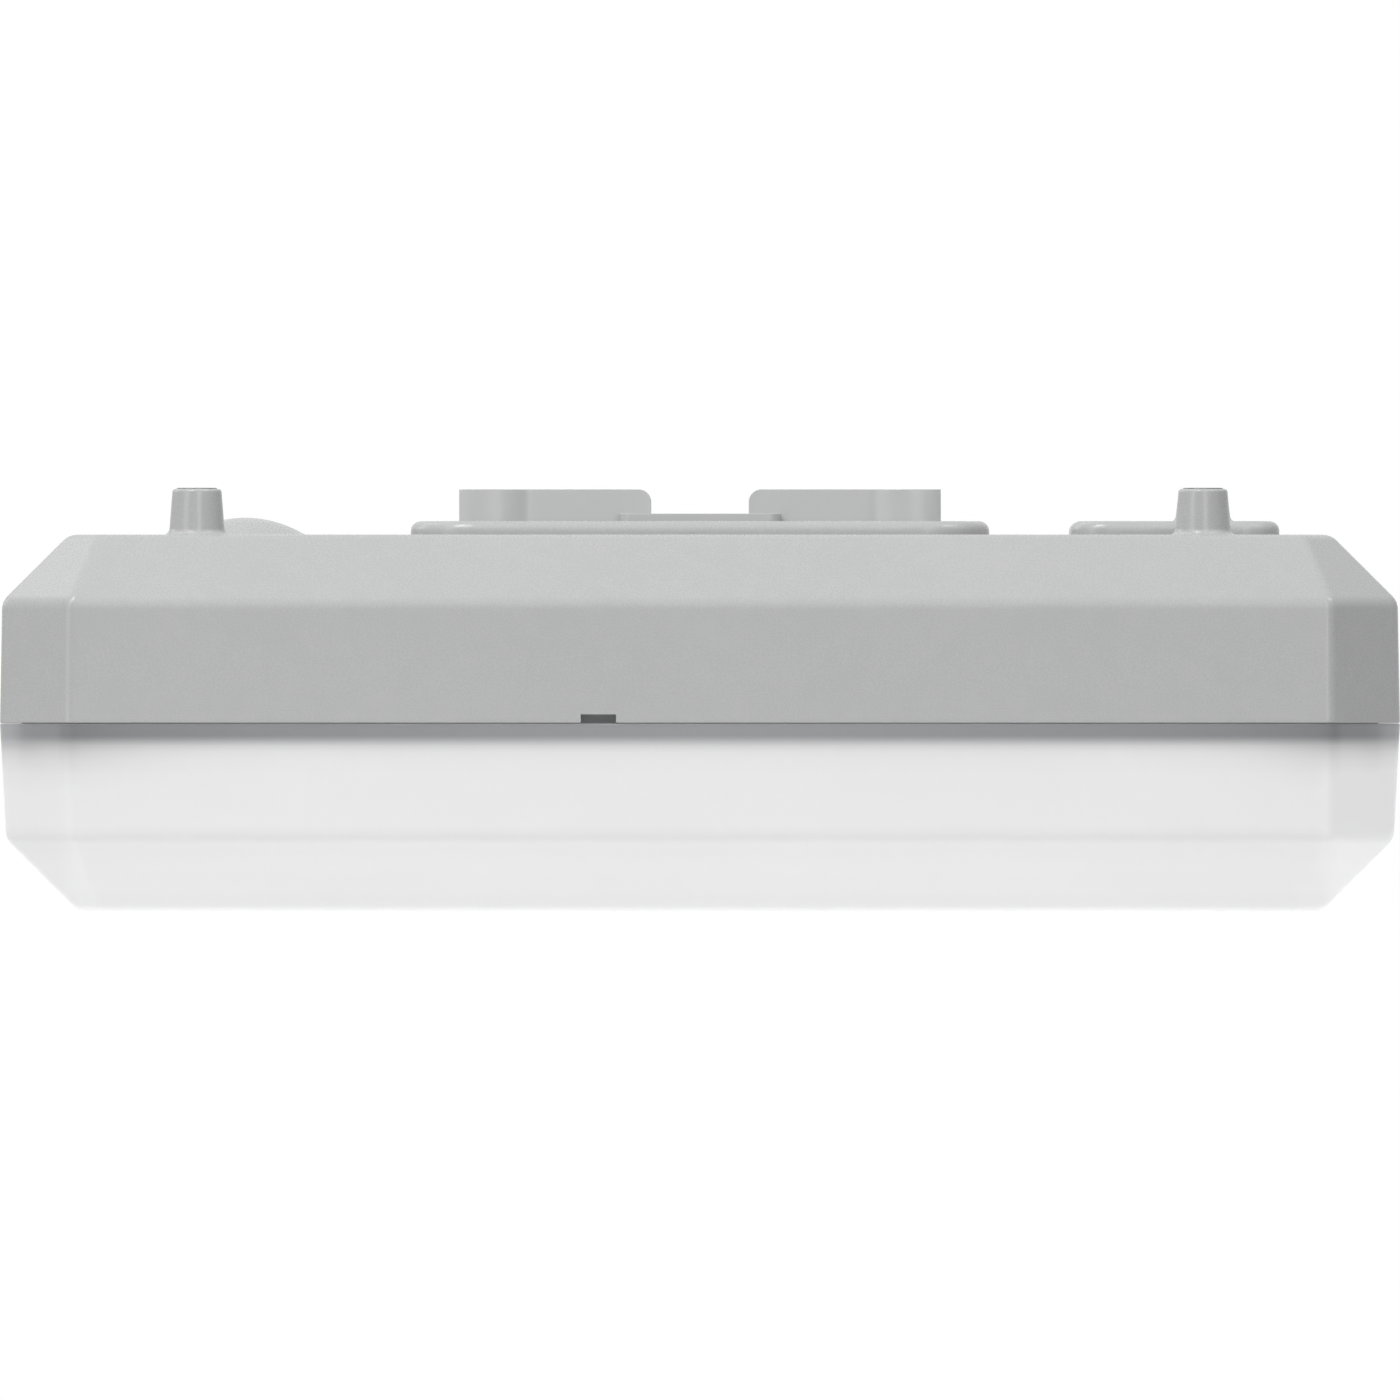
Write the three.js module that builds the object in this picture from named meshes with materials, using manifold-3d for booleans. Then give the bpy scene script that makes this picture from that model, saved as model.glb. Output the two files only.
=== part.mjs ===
// A ceiling-mounted garage door opener head, in millimetres, +Z up.
// The origin is the centre of the light cover's flat underside.
// +X runs along the long side and +Y to the rear.
// The casing hangs from four posts, and the trolley rail lies on the collar between the low rail walls.

import * as THREE from "three";
import { ConvexGeometry } from "three/addons/geometries/ConvexGeometry.js";
import { mergeVertices } from "three/addons/utils/BufferGeometryUtils.js";
import Module from "manifold-3d";

// ---- Casing: upper housing and light cover ----
const bodyLength = 390;
const bodyWidth = 190;
const lensHeight = 52.5;
const housingHeight = 52.5;
const cornerCut = 19;
const roofSlope = 19.5;
const lensSlope = 20.3;
const housingDraft = 0.6;
const lensDraft = 1.7;
const casingEdge = 4;
const housingWall = 2.5;
const lensWall = 2.2;
const seat = 0.3;
// How far a cutter, or the hidden end of a joined solid, runs past the face that it crosses.
const past = 1;
// How far a cutter reaches on each side of the upright wall that it pierces.
const cutReach = 10;
// The middle point of a quarter round lies this share of its radius from both straight edges.
const arcMid = 0.3;
const ribThickness = 1.5;
const ribSpacing = 220;
const ribRoot = 0.5;
const pryNotchLength = 9.8;
const pryNotchHeight = 2.1;
const pryNotchX = -28.3;

// ---- Roof: posts, plinths, collar and rail walls ----
const postEndInset = 54.75;
const postSideInset = 35;
const rearPostShift = 0.95;
const postHeight = 12.8;
const postTopRadius = 6.6;
const postBaseRadius = 7.65;
const postEdge = 1;
const postFillet = 2;
const insertFlangeRadius = 5.7;
const insertFlangeThickness = 0.9;
const insertProud = 0.25;
const insertRadius = 4.5;
const insertLength = 11;
const insertBoreRadius = 2.6;
const plinthHeight = 3.9;
const plinthEdge = 2.4;
const saddleLength = 161.7;
const saddleWidth = 60;
const saddleCorner = 17.7;
const padLength = 58.3;
const padWidth = 103;
const padCorner = 10;
const padEndInset = 62.25;
const padY = 21.5;
const collarSize = 45;
const collarCorner = 3.5;
const collarHeight = 1.95;
const railWidth = 27.3;
const railWallLength = 53.65;
const railWallThickness = 3.4;
const railWallCorner = 3.5;
const railBossRadius = 16.7;
const railBossStandOut = 3.45;
const railBossAngle = Math.PI / 6;
const pilotRadius = 1.5;
const pilotDepth = 8;
const stakeRadius = 3;
const stakeInset = 10;

// ---- Tray that closes the housing, and the white panel under it ----
const trayInset = 6;
const trayWall = 2;
const trayDrop = 4.9;
const trayFloor = 2.5;
const trayRise = 4.5;
const flangeRise = 1.5;
const flangeThickness = 2;
const reflectorThickness = 1.5;
const frameScrewEndInset = 37;
const frameScrewSideInset = 31;
const frameScrewRadius = 1.6;
const frameScrewHead = 3.6;
const frameScrewHeadHeight = 2.2;
const frameScrewReach = 16;
const bossRadius = 4.5;

// ---- Worm drive ----
const gearModule = 2;
const wheelTeeth = 24;
const wheelFace = 12;
const wheelHubRadius = 12;
const wheelHubLength = 16;
const wormPitchRadius = 8;
const wormTurns = 4;
const toothSlack = 0.6;
const dedendum = 1.2 * gearModule;
const pressureAngle = Math.PI / 9;
const gearClearance = 1.5;
const axleClearance = 1;
const gearboxWall = 8.5;
const gearboxCorner = 8;
const caseDepth = 18;
const lidDepth = 14;
const neckWall = 6;
const gearboxScrewInset = 7;
const gearboxScrewRadius = 2;
const gearboxScrewHead = 3.8;
const gearboxScrewHeadHeight = 2.6;
const gearboxBossRadius = 6;
const gearboxScrewGrip = 9;

// ---- Output shaft ----
const shaftRadius = 7;
const shaftHexFlats = 16;
const hubRadius = 11.5;
const hubClearance = 0.5;
const hubSink = 0.45;
const hubEdge = 0.6;
const socketFlats = 12;
const socketDepth = 14;
const bushWall = 3;
const bushLength = 8;
const circlipThickness = 1.4;
const circlipWidth = 3.4;
const circlipDepth = 1.4;

// ---- Motor ----
const motorRadius = 22;
const motorLength = 68;
const motorShell = 2;
const motorPlate = 2;
const motorCap = 5;
const motorEdge = 1;
const magnetThickness = 3.5;
const magnetArc = (140 * Math.PI) / 180;
const magnetOverhang = 1;
const armatureLength = 36;
const armatureSlots = 9;
const armatureSlotWidth = 2.4;
const armatureSlotFloor = 8;
const airGap = 0.8;
const commutatorRadius = 7;
const commutatorLength = 12;
const motorShaftRadius = 3;
const motorShaftEndGap = 1;
const motorShaftTail = 3;
const motorBushWall = 3.2;
const motorBushLength = 5;
const encoderRadius = 15;
const encoderThickness = 1.2;
const encoderSlots = 8;
const encoderSlotLength = 6;
const encoderSlotWidth = 2;
const encoderSlotInset = 3.3;
const encoderGap = 4;
const sensorWidth = 12;
const sensorDrop = 8.25;
const sensorSideClearance = 1;
const sensorFloorClearance = 1.5;
const cradleThickness = 6;
const frontCradleInset = 20;
const rearCradleInset = 14;

// ---- Transformer ----
const transformerEndInset = 67.8;
const transformerRadius = 43;
const transformerHole = 16;
const transformerHeight = 42;
const transformerRound = 10;
const transformerPadThickness = 1.5;
const transformerPadInset = 6;
const washerRadius = 26;
const washerThickness = 2;
const boltRadius = 3;
const boltHeadFlats = 13;
const boltHeadHeight = 5.2;
const boltEndRise = 2;
const stumpRadius = 8;
const stumpHeight = 16;
const domeRadius = 17;
const domeHeight = 5;

// ---- Control board, keys and lamps ----
const boardStartClearance = 7;
const boardEndClearance = 6.5;
const boardSideInset = 54;
const boardWidth = 64;
const boardThickness = 1.6;
const boardRise = 5.7;
const standoffRadius = 3;
const standoffInset = 5;
const relayLength = 20;
const relayWidth = 16;
const relayHeight = 15;
const relayEndInset = 14.5;
const relaySideInset = 22;
const relayPitch = 25;
const fuseLength = 24;
const fuseWidth = 8;
const fuseHeight = 9;
const fuseGap = 4.5;
const fuseSideInset = 13;
const radioLength = 28;
const radioThickness = 3;
const radioHeight = 16;
const radioEndInset = 16.5;
const radioSideInset = 10;
const terminalWays = 6;
const terminalPitch = 6;
const terminalWidth = 10;
const terminalHeight = 12;
const terminalMouth = 4;
const terminalMouthDepth = 3;
const terminalMouthRise = 2;
const terminalEndInset = 31;
const terminalSideInset = 7.5;
const capacitorRadius = 9;
const capacitorHeight = 27;
const capacitorEdge = 1;
const capacitorGap = 3;
const capacitorSideInset = 15.5;
const bezelLength = 72;
const bezelWidth = 24;
const bezelThickness = 2.2;
const bezelCorner = 4;
const displayLength = 20;
const displayWidth = 12;
const displayOffset = -22;
const displayMargin = 1.5;
const keyRadius = 4;
const keyClearance = 0.4;
const keyEdge = 0.6;
const keyPitch = 14;
const keyFlange = 1.5;
const keyFlangeThickness = 1;
const keyProud = 1;
const keyTravel = 1;
const keyCount = 3;
const switchSize = 6;
const switchHeight = 1.5;
const lampLength = 140;
const lampWidth = 14;
const lampThickness = 1.6;
const lampOffsetX = 95;
const lampSideInset = 45;
const ledSize = 5;
const ledHeight = 0.8;
const ledCount = 6;

// ---- Rear wall: mains inlet and cable grommet ----
const inletX = -60;
const inletRise = 18;
const inletLength = 28;
const inletHeight = 20;
const inletDepth = 25;
const inletRecess = 1.2;
const inletLip = 3;
const inletLipThickness = 2;
const cavityLength = 23;
const cavityHeight = 15;
const cavityDepth = 15;
const pinSpacing = 7;
const pinThickness = 2;
const pinHeight = 4;
const pinRecess = 2;
const grommetEndInset = 65;
const grommetLipRadius = 8.7;
const grommetLipThickness = 0.9;
const grommetRadius = 6;
const grommetBore = 3;
const grommetBarb = 2;
const membraneThickness = 1;

// ---- Levels and places worked out from the sizes above ----
const slopeShift = Math.SQRT2 - 1;
const partingZ = lensHeight;
const roofZ = lensHeight + housingHeight;
const ceilingZ = roofZ - housingWall;
const postTopZ = roofZ + postHeight;
const plinthZ = roofZ + plinthHeight;
const collarZ = plinthZ + collarHeight;
const postX = bodyLength / 2 - postEndInset;
const postY = bodyWidth / 2 - postSideInset;
const padX = bodyLength / 2 - padEndInset;
const railInner = railWidth / 2;
const railOuter = railInner + railWallThickness;
const railWallEnd = railInner + railWallLength;
const railBossX = railWallEnd - railBossRadius * Math.sin(railBossAngle);
const railBossY = railOuter + railBossStandOut - railBossRadius;
const stakeX = saddleLength / 2 - stakeInset;
const stakeY = saddleWidth / 2 - stakeInset;
const trayBottomZ = partingZ - trayDrop;
const floorZ = trayBottomZ + trayFloor;
const reflectorTopZ = trayBottomZ - seat;
const reflectorZ = reflectorTopZ - reflectorThickness;
const frameScrewX = bodyLength / 2 - frameScrewEndInset;
const frameScrewY = bodyWidth / 2 - frameScrewSideInset;
const driveZ = (floorZ + ceilingZ) / 2;
const wheelPitchRadius = (gearModule * wheelTeeth) / 2;
const wheelTipRadius = wheelPitchRadius + gearModule;
const wormTipRadius = wormPitchRadius + gearModule;
const wormLead = Math.PI * gearModule;
const wormLength = wormTurns * wormLead;
const motorY = wheelPitchRadius + wormPitchRadius;
const gearboxX = wheelTipRadius + gearClearance + gearboxWall;
const gearboxFront = -gearboxX;
const gearboxRear = motorY + wormTipRadius + gearClearance + gearboxWall + gearboxScrewInset / 2;
const caseZ = driveZ - caseDepth;
const lidZ = driveZ + lidDepth;
const hubTopZ = collarZ - hubSink;
const hubBaseZ = driveZ + wheelHubLength / 2 + bushLength / 2;
const circlipZ = caseZ - seat - circlipThickness;
const shaftEndZ = circlipZ - circlipThickness;
const motorStart = gearboxX + seat;
const motorEnd = motorStart + motorLength;
const wormBushRadius = motorShaftRadius + motorBushWall;
const encoderX = -gearboxX - encoderGap;
const transformerX = transformerEndInset - bodyLength / 2;
const padTopZ = floorZ + seat + transformerPadThickness;
const coilZ = padTopZ + seat;
const coilTopZ = coilZ + transformerHeight;
const washerTopZ = coilTopZ + seat + washerThickness;
const boardStart = gearboxX + boardStartClearance;
const boardLength = frameScrewX - bossRadius - boardEndClearance - boardStart;
const boardX = boardStart + boardLength / 2;
const boardY = boardSideInset - bodyWidth / 2;
const boardZ = floorZ + boardRise;
const boardTopZ = boardZ + boardThickness;
const bezelTopZ = reflectorZ - seat;
const bezelZ = bezelTopZ - bezelThickness;
const displayX = boardX + displayOffset;
const switchZ = boardZ - seat - switchHeight;
const keyTopZ = switchZ - keyTravel - seat;
const keyHole = keyRadius + keyClearance;
const lampTopZ = reflectorZ - seat;
const lampZ = lampTopZ - lampThickness;
const lampY = bodyWidth / 2 - lampSideInset;
const inletZ = partingZ + inletRise;
const grommetX = bodyLength / 2 - grommetEndInset;
const draftAtInlet = (housingDraft * inletRise) / (housingHeight - roofSlope);
const rearWallY = bodyWidth / 2 - draftAtInlet;
const rearWallInside = rearWallY - housingWall - housingDraft / 2;

const wasm = await Module();
wasm.setup();

// ---- Solids from three.js geometries ----

function solid(geometry) {
  const bare = geometry.index ? geometry.toNonIndexed() : geometry.clone();
  bare.deleteAttribute("normal");
  bare.deleteAttribute("uv");
  const merged = mergeVertices(bare, 1e-4);
  const vertProperties = merged.attributes.position.array;
  const triVerts = new Uint32Array(merged.index.array);
  return new wasm.Manifold(new wasm.Mesh({ numProp: 3, vertProperties, triVerts }));
}

function joined(first, ...others) {
  return others.reduce((whole, part) => whole.add(part), first);
}

function carved(first, ...others) {
  return others.reduce((whole, part) => whole.subtract(part), first);
}

function geometryOf(manifold) {
  const mesh = manifold.getMesh();
  const geometry = new THREE.BufferGeometry();
  geometry.setAttribute("position", new THREE.BufferAttribute(mesh.vertProperties, 3));
  geometry.setIndex(new THREE.BufferAttribute(mesh.triVerts, 1));
  return geometry;
}

function at(x, y) {
  return new THREE.Vector2(x, y);
}

// A box centred on x and y, standing on z.
function block(x, y, z, length, width, height) {
  return solid(new THREE.BoxGeometry(length, width, height).translate(x, y, z + height / 2));
}

// A solid of revolution about the vertical through x, y.
// Its profile is given as (radius, z), bottom to top.
function turned(profile, x = 0, y = 0, sides = 20) {
  return solid(new THREE.LatheGeometry(profile, sides).rotateX(Math.PI / 2).translate(x, y, 0));
}

function pillar(x, y, radius, bottom, top, sides = 14) {
  return turned([at(0, bottom), at(radius, bottom), at(radius, top), at(0, top)], x, y, sides);
}

// A pillar whose flats, not its corners, stand at the radius: what cuts a round hole.
function bore(x, y, radius, bottom, top, sides = 12) {
  return pillar(x, y, radius / Math.cos(Math.PI / sides), bottom, top, sides);
}

function sleeveProfile(inner, outer, bottom, top) {
  return [at(inner, bottom), at(outer, bottom), at(outer, top), at(inner, top), at(inner, bottom)];
}

// A vertical hexagonal prism, two of its flats facing along X.
function hexagon(x, y, flats, bottom, top) {
  return pillar(x, y, flats / Math.sqrt(3), bottom, top, 6);
}

// Local Z turns to world X, so that what is turned upright lies along the motor's axis.
const alongX = new THREE.Matrix4().makeBasis(
  new THREE.Vector3(0, 1, 0),
  new THREE.Vector3(0, 0, 1),
  new THREE.Vector3(1, 0, 0),
);

// A hole along the motor's axis from x = start to x = end.
function motorBore(radius, start, end, sides = 16) {
  const reach = radius / Math.cos(Math.PI / sides);
  const length = end - start;
  const upright = new THREE.CylinderGeometry(reach, reach, length, sides).rotateX(Math.PI / 2);
  const lying = upright.translate(0, 0, start + length / 2).applyMatrix4(alongX);
  return solid(lying.translate(0, motorY, driveZ));
}

// Replaces each corner of a line by a three-point round of the given radius.
function softened(corners, radius, closed = true) {
  return corners.flatMap((corner, i) => {
    const before = corners[i - 1] ?? (closed ? corners.at(-1) : null);
    const after = corners[i + 1] ?? (closed ? corners[0] : null);
    if (!before || !after) return [corner];
    const back = before.clone().sub(corner).normalize();
    const onward = after.clone().sub(corner).normalize();
    const half = back.angleTo(onward) / 2;
    const reach = radius / Math.tan(half);
    const middle = back.clone().add(onward).setLength(radius / Math.sin(half) - radius);
    back.multiplyScalar(reach).add(corner);
    onward.multiplyScalar(reach).add(corner);
    return [back, middle.add(corner), onward];
  });
}

// The casing's outline in plan, moved inwards by an inset: an oblong with its corners cut at 45 degrees.
function outline(inset) {
  const halfX = bodyLength / 2 - inset;
  const halfY = bodyWidth / 2 - inset;
  const cut = cornerCut - inset * (2 - Math.SQRT2);
  const corners = [
    at(halfX, cut - halfY),
    at(halfX, halfY - cut),
    at(halfX - cut, halfY),
    at(cut - halfX, halfY),
    at(-halfX, halfY - cut),
    at(-halfX, cut - halfY),
    at(cut - halfX, -halfY),
    at(halfX - cut, -halfY),
  ];
  return softened(corners, Math.max(casingEdge - inset / 2, 1));
}

// A convex shell body through the outline at each level, a level being (inset, z).
function lofted(levels) {
  const ring = (level) => outline(level.x).map((p) => new THREE.Vector3(p.x, p.y, level.y));
  const points = levels.flatMap(ring);
  return solid(new ConvexGeometry(points));
}

function extruded(points, bottom, top) {
  const options = { depth: top - bottom, bevelEnabled: false };
  return solid(new THREE.ExtrudeGeometry(new THREE.Shape(points), options).translate(0, 0, bottom));
}

function traySlab(inset, bottom, top) {
  return extruded(outline(inset), bottom, top);
}

function roundedOblong(length, width, corner) {
  const shape = new THREE.Shape();
  const x = length / 2 - corner;
  const y = width / 2 - corner;
  shape.absarc(x, y, corner, 0, Math.PI / 2);
  shape.absarc(-x, y, corner, Math.PI / 2, Math.PI);
  shape.absarc(-x, -y, corner, Math.PI, 1.5 * Math.PI);
  shape.absarc(x, -y, corner, 1.5 * Math.PI, 2 * Math.PI);
  return shape.getPoints(3).slice(0, -1);
}

function oblongBlock(x, y, length, width, corner, bottom, top) {
  const points = roundedOblong(length, width, corner).map((p) => at(p.x + x, p.y + y));
  return extruded(points, bottom, top);
}

// The four places that mirror each other across both middle planes.
function mirrored(x, y) {
  return [at(x, y), at(-x, y), at(-x, -y), at(x, -y)];
}

// The rear posts stand a little further out, so that a ceiling bracket fits one way round only.
function postPlaces() {
  return mirrored(postX, postY).map((p) => at(p.x + (p.y > 0 ? Math.sign(p.x) * rearPostShift : 0), p.y));
}

// ---- Pieces ----

const opener = new THREE.Group();

function finish(color, roughness, metalness = 0, extra = {}) {
  return new THREE.MeshStandardMaterial({ color, roughness, metalness, ...extra });
}

const finishes = {
  casing: finish(0xb8b8b6, 0.55),
  lens: finish(0xf2f2f0, 0.5, 0, { transparent: true, opacity: 0.75 }),
  tray: finish(0x8e9092, 0.6),
  white: finish(0xf4f4f2, 0.45),
  darkPlastic: finish(0x2c2e31, 0.5),
  rubber: finish(0x1c1c1d, 0.85),
  steel: finish(0xb9bcc0, 0.35, 1),
  zinc: finish(0xa9adb1, 0.45, 1),
  bronze: finish(0xa8793f, 0.45, 1),
  brass: finish(0xc9a254, 0.35, 1),
  copper: finish(0xb0653a, 0.4, 1),
  nylon: finish(0xe6e0cf, 0.5),
  board: finish(0x1f6b3a, 0.5),
  ferrite: finish(0x3a3b3e, 0.7),
  tape: finish(0xd9b63a, 0.55),
  relay: finish(0x2f5fa8, 0.45),
};

function add(name, manifold, material, parent = opener) {
  const mesh = new THREE.Mesh(geometryOf(manifold), material);
  mesh.name = name;
  mesh.geometry.computeVertexNormals();
  parent.add(mesh);
  return mesh;
}

// ---- Upper housing ----

function housingLevels(depth) {
  const slopeStart = roofZ - roofSlope - slopeShift * depth;
  const slopeEnd = housingDraft + roofSlope + slopeShift * depth;
  const corners = [
    at(depth, partingZ),
    at(housingDraft + depth, slopeStart),
    at(slopeEnd, roofZ - depth),
    at(bodyWidth / 2, roofZ - depth),
  ];
  return softened(corners, Math.max(casingEdge - depth, 1), false).slice(0, -1);
}

function post(x, y, base) {
  const rim = postTopRadius - postEdge;
  const profile = [
    at(0, roofZ - housingWall / 2),
    at(postBaseRadius + postFillet, roofZ - housingWall / 2),
    at(postBaseRadius + postFillet, base),
    at(postBaseRadius + arcMid * postFillet, base + arcMid * postFillet),
    at(postBaseRadius, base + postFillet),
    at(postTopRadius, postTopZ - postEdge),
    at(postTopRadius - arcMid * postEdge, postTopZ - arcMid * postEdge),
    at(rim, postTopZ),
    at(0, postTopZ),
  ];
  return turned(profile, x, y, 16);
}

function insertSeat(x, y) {
  const shoulder = postTopZ - insertFlangeThickness + insertProud - seat;
  const flange = bore(x, y, insertFlangeRadius + seat, shoulder, postTopZ + past);
  const barrel = bore(x, y, insertRadius + seat, postTopZ - insertLength - seat, postTopZ);
  return flange.add(barrel);
}

function plinth(x, y, length, width, corner) {
  const points = roundedOblong(length - 2 * plinthEdge, width - 2 * plinthEdge, corner - plinthEdge);
  const geometry = new THREE.ExtrudeGeometry(new THREE.Shape(points), {
    depth: plinthHeight - plinthEdge,
    bevelThickness: plinthEdge,
    bevelSize: plinthEdge,
    bevelSegments: 2,
  });
  return solid(geometry.translate(x, y, roofZ));
}

// The left and right halves of each wall mirror each other, so signs turn one outline into four.
function railWall(signX, signY) {
  const path = new THREE.Path();
  path.moveTo(railInner, railInner);
  path.lineTo(railWallEnd, railInner);
  const crown = Math.PI / 2;
  path.absarc(railBossX, railBossY, railBossRadius, crown - railBossAngle, crown + railBossAngle);
  const bossEdge = railBossX - railBossRadius * Math.sin(railBossAngle);
  const rise = railBossY + railBossRadius * Math.cos(railBossAngle) - railOuter;
  const run = rise / Math.tan(railBossAngle);
  path.quadraticCurveTo(bossEdge - run, railOuter, bossEdge - 2 * run, railOuter);
  path.lineTo(railInner, railOuter);
  const points = path.getPoints(5).map((p) => at(p.x * signX, p.y * signY));
  return extruded(points, roofZ, postTopZ);
}

// What rounds the upper inner corner of the two walls on one side.
function wallCorner(signX) {
  const middle = signX * (railInner + railWallCorner);
  const width = 4 * railOuter;
  const size = 2 * railWallCorner;
  const height = postTopZ - railWallCorner;
  const cube = block(middle - signX * railWallCorner, 0, height, size, width, size);
  const round = new THREE.CylinderGeometry(railWallCorner, railWallCorner, width + past, 24);
  return cube.subtract(solid(round.translate(middle, 0, height)));
}

function dome(radius, height, base) {
  const sphere = (radius * radius + height * height) / (2 * height);
  const reach = Math.asin(radius / sphere);
  const profile = [at(0, base - past), at(radius, base - past)];
  const steps = 4;
  for (let i = 0; i < steps; i++) {
    const angle = reach * (1 - i / steps);
    profile.push(at(sphere * Math.sin(angle), base + height - sphere * (1 - Math.cos(angle))));
  }
  profile.push(at(0, base + height));
  return turned(profile, transformerX, 0, 24);
}

function rearOpenings() {
  const length = inletLength + 2 * seat;
  const height = inletHeight + 2 * seat;
  const inlet = block(inletX, bodyWidth / 2, inletZ - height / 2, length, 2 * cutReach, height);
  const across = (radius, depth, y) =>
    solid(new THREE.CylinderGeometry(radius, radius, depth, 20).translate(grommetX, y, inletZ));
  const neck = across(grommetRadius + seat, 2 * cutReach, bodyWidth / 2);
  const lipDepth = grommetLipThickness + seat;
  const counterbore = across(grommetLipRadius + seat, cutReach, rearWallY - lipDepth + cutReach / 2);
  return [inlet, neck, counterbore];
}

function makeHousing() {
  const shell = lofted(housingLevels(0));
  const [lowest, ...levels] = housingLevels(housingWall);
  const cavity = lofted([at(lowest.x, partingZ - past), ...levels]);
  const posts = postPlaces().map((p) => post(p.x, p.y, p.x > 0 && p.y > 0 ? plinthZ : roofZ));
  const pad = plinth(padX, padY, padLength, padWidth, padCorner);
  const outside = joined(shell, ...posts, pad, dome(domeRadius, domeHeight, roofZ));
  const bosses = mirrored(frameScrewX, frameScrewY).map((p) =>
    pillar(p.x, p.y, bossRadius, floorZ + seat, roofZ - past, 12),
  );
  const gearboxBosses = gearboxCorners().map((p) =>
    pillar(p.x, p.y, gearboxBossRadius, lidZ + seat, roofZ - past, 12),
  );
  const holes = [
    bore(0, 0, hubRadius + hubClearance, ceilingZ - past, roofZ + past, 24),
    ...mirrored(stakeX, stakeY).map((p) =>
      bore(p.x, p.y, stakeRadius + seat, ceilingZ - past, roofZ + past, 12),
    ),
    block(pryNotchX, -bodyWidth / 2, partingZ - past, pryNotchLength, cutReach, pryNotchHeight + past),
    ...postPlaces().map((p) => insertSeat(p.x, p.y)),
    ...mirrored(frameScrewX, frameScrewY).map((p) =>
      bore(p.x, p.y, frameScrewRadius + seat, floorZ, floorZ + frameScrewReach, 8),
    ),
    ...gearboxCorners().map((p) =>
      bore(p.x, p.y, gearboxScrewRadius + seat, lidZ, lidZ + gearboxScrewGrip + 2 * seat, 8),
    ),
    ...rearOpenings(),
  ];
  const recess = dome(domeRadius - housingWall, domeHeight - seat, ceilingZ);
  const hollow = carved(cavity.add(recess), ...bosses, ...gearboxBosses);
  add("top_housing", carved(outside, hollow, ...holes), finishes.casing);
}

// The rail lies in this saddle: a plate with a collar and four walls, held by stakes through the roof.
function makeRailSaddle() {
  const walls = [1, -1].flatMap((signX) => [1, -1].map((signY) => railWall(signX, signY)));
  const outside = joined(
    plinth(0, 0, saddleLength, saddleWidth, saddleCorner),
    oblongBlock(0, 0, collarSize, collarSize, collarCorner, roofZ, collarZ),
    ...walls,
  );
  const base = roofZ + seat;
  const pilots = mirrored(railBossX, railOuter).map((p) =>
    bore(p.x, p.y, pilotRadius, postTopZ - pilotDepth, postTopZ + past, 8),
  );
  const below = block(0, 0, base - cutReach, saddleLength + cutReach, saddleWidth + cutReach, cutReach);
  const shaftHole = bore(0, 0, hubRadius + hubClearance, roofZ, collarZ + past, 24);
  const plate = carved(outside, below, shaftHole, wallCorner(1), wallCorner(-1), ...pilots);
  const stakes = mirrored(stakeX, stakeY).map((p) =>
    pillar(p.x, p.y, stakeRadius, ceilingZ, base + past, 12),
  );
  add("rail_saddle", joined(plate, ...stakes), finishes.casing);
}

function makeInserts() {
  const top = postTopZ + insertProud;
  const shoulder = top - insertFlangeThickness;
  const profile = [
    at(insertBoreRadius, postTopZ - insertLength),
    at(insertRadius, postTopZ - insertLength),
    at(insertRadius, shoulder),
    at(insertFlangeRadius, shoulder),
    at(insertFlangeRadius, top),
    at(insertBoreRadius, top),
    at(insertBoreRadius, postTopZ - insertLength),
  ];
  postPlaces().forEach((p, i) => {
    const mesh = add(`post_insert_${i + 1}`, turned(profile, 0, 0, 14), finishes.zinc);
    mesh.position.set(p.x, p.y, 0);
  });
}

// ---- Light cover ----

function lensLevels(depth) {
  const slopeStart = lensSlope + slopeShift * depth;
  const slopeEnd = lensDraft + lensSlope + slopeShift * depth;
  const corners = [
    at(bodyWidth / 2, depth),
    at(slopeEnd, depth),
    at(lensDraft + depth, slopeStart),
    at(depth, partingZ - seat),
  ];
  return softened(corners, Math.max(casingEdge - depth, 1), false).slice(1);
}

function makeLens() {
  const shell = lofted(lensLevels(0));
  const levels = lensLevels(lensWall);
  const cavity = lofted([...levels.slice(0, -1), at(lensWall, partingZ + past)]);
  const reach = trayInset - seat - lensWall + ribRoot;
  const bottom = trayBottomZ + seat;
  const height = partingZ - 2 * seat - bottom;
  const offset = lensWall - ribRoot + reach / 2;
  const sideRibs = mirrored(ribSpacing / 2, bodyWidth / 2 - offset).map((p) =>
    block(p.x, p.y, bottom, ribThickness, reach, height),
  );
  const endRibs = [1, -1].map((sign) =>
    block(sign * (bodyLength / 2 - offset), 0, bottom, reach, ribThickness, height),
  );
  add("lens_cover", joined(shell.subtract(cavity), ...sideRibs, ...endRibs), finishes.lens);
}

// ---- Tray, white panel and their screws ----

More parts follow.
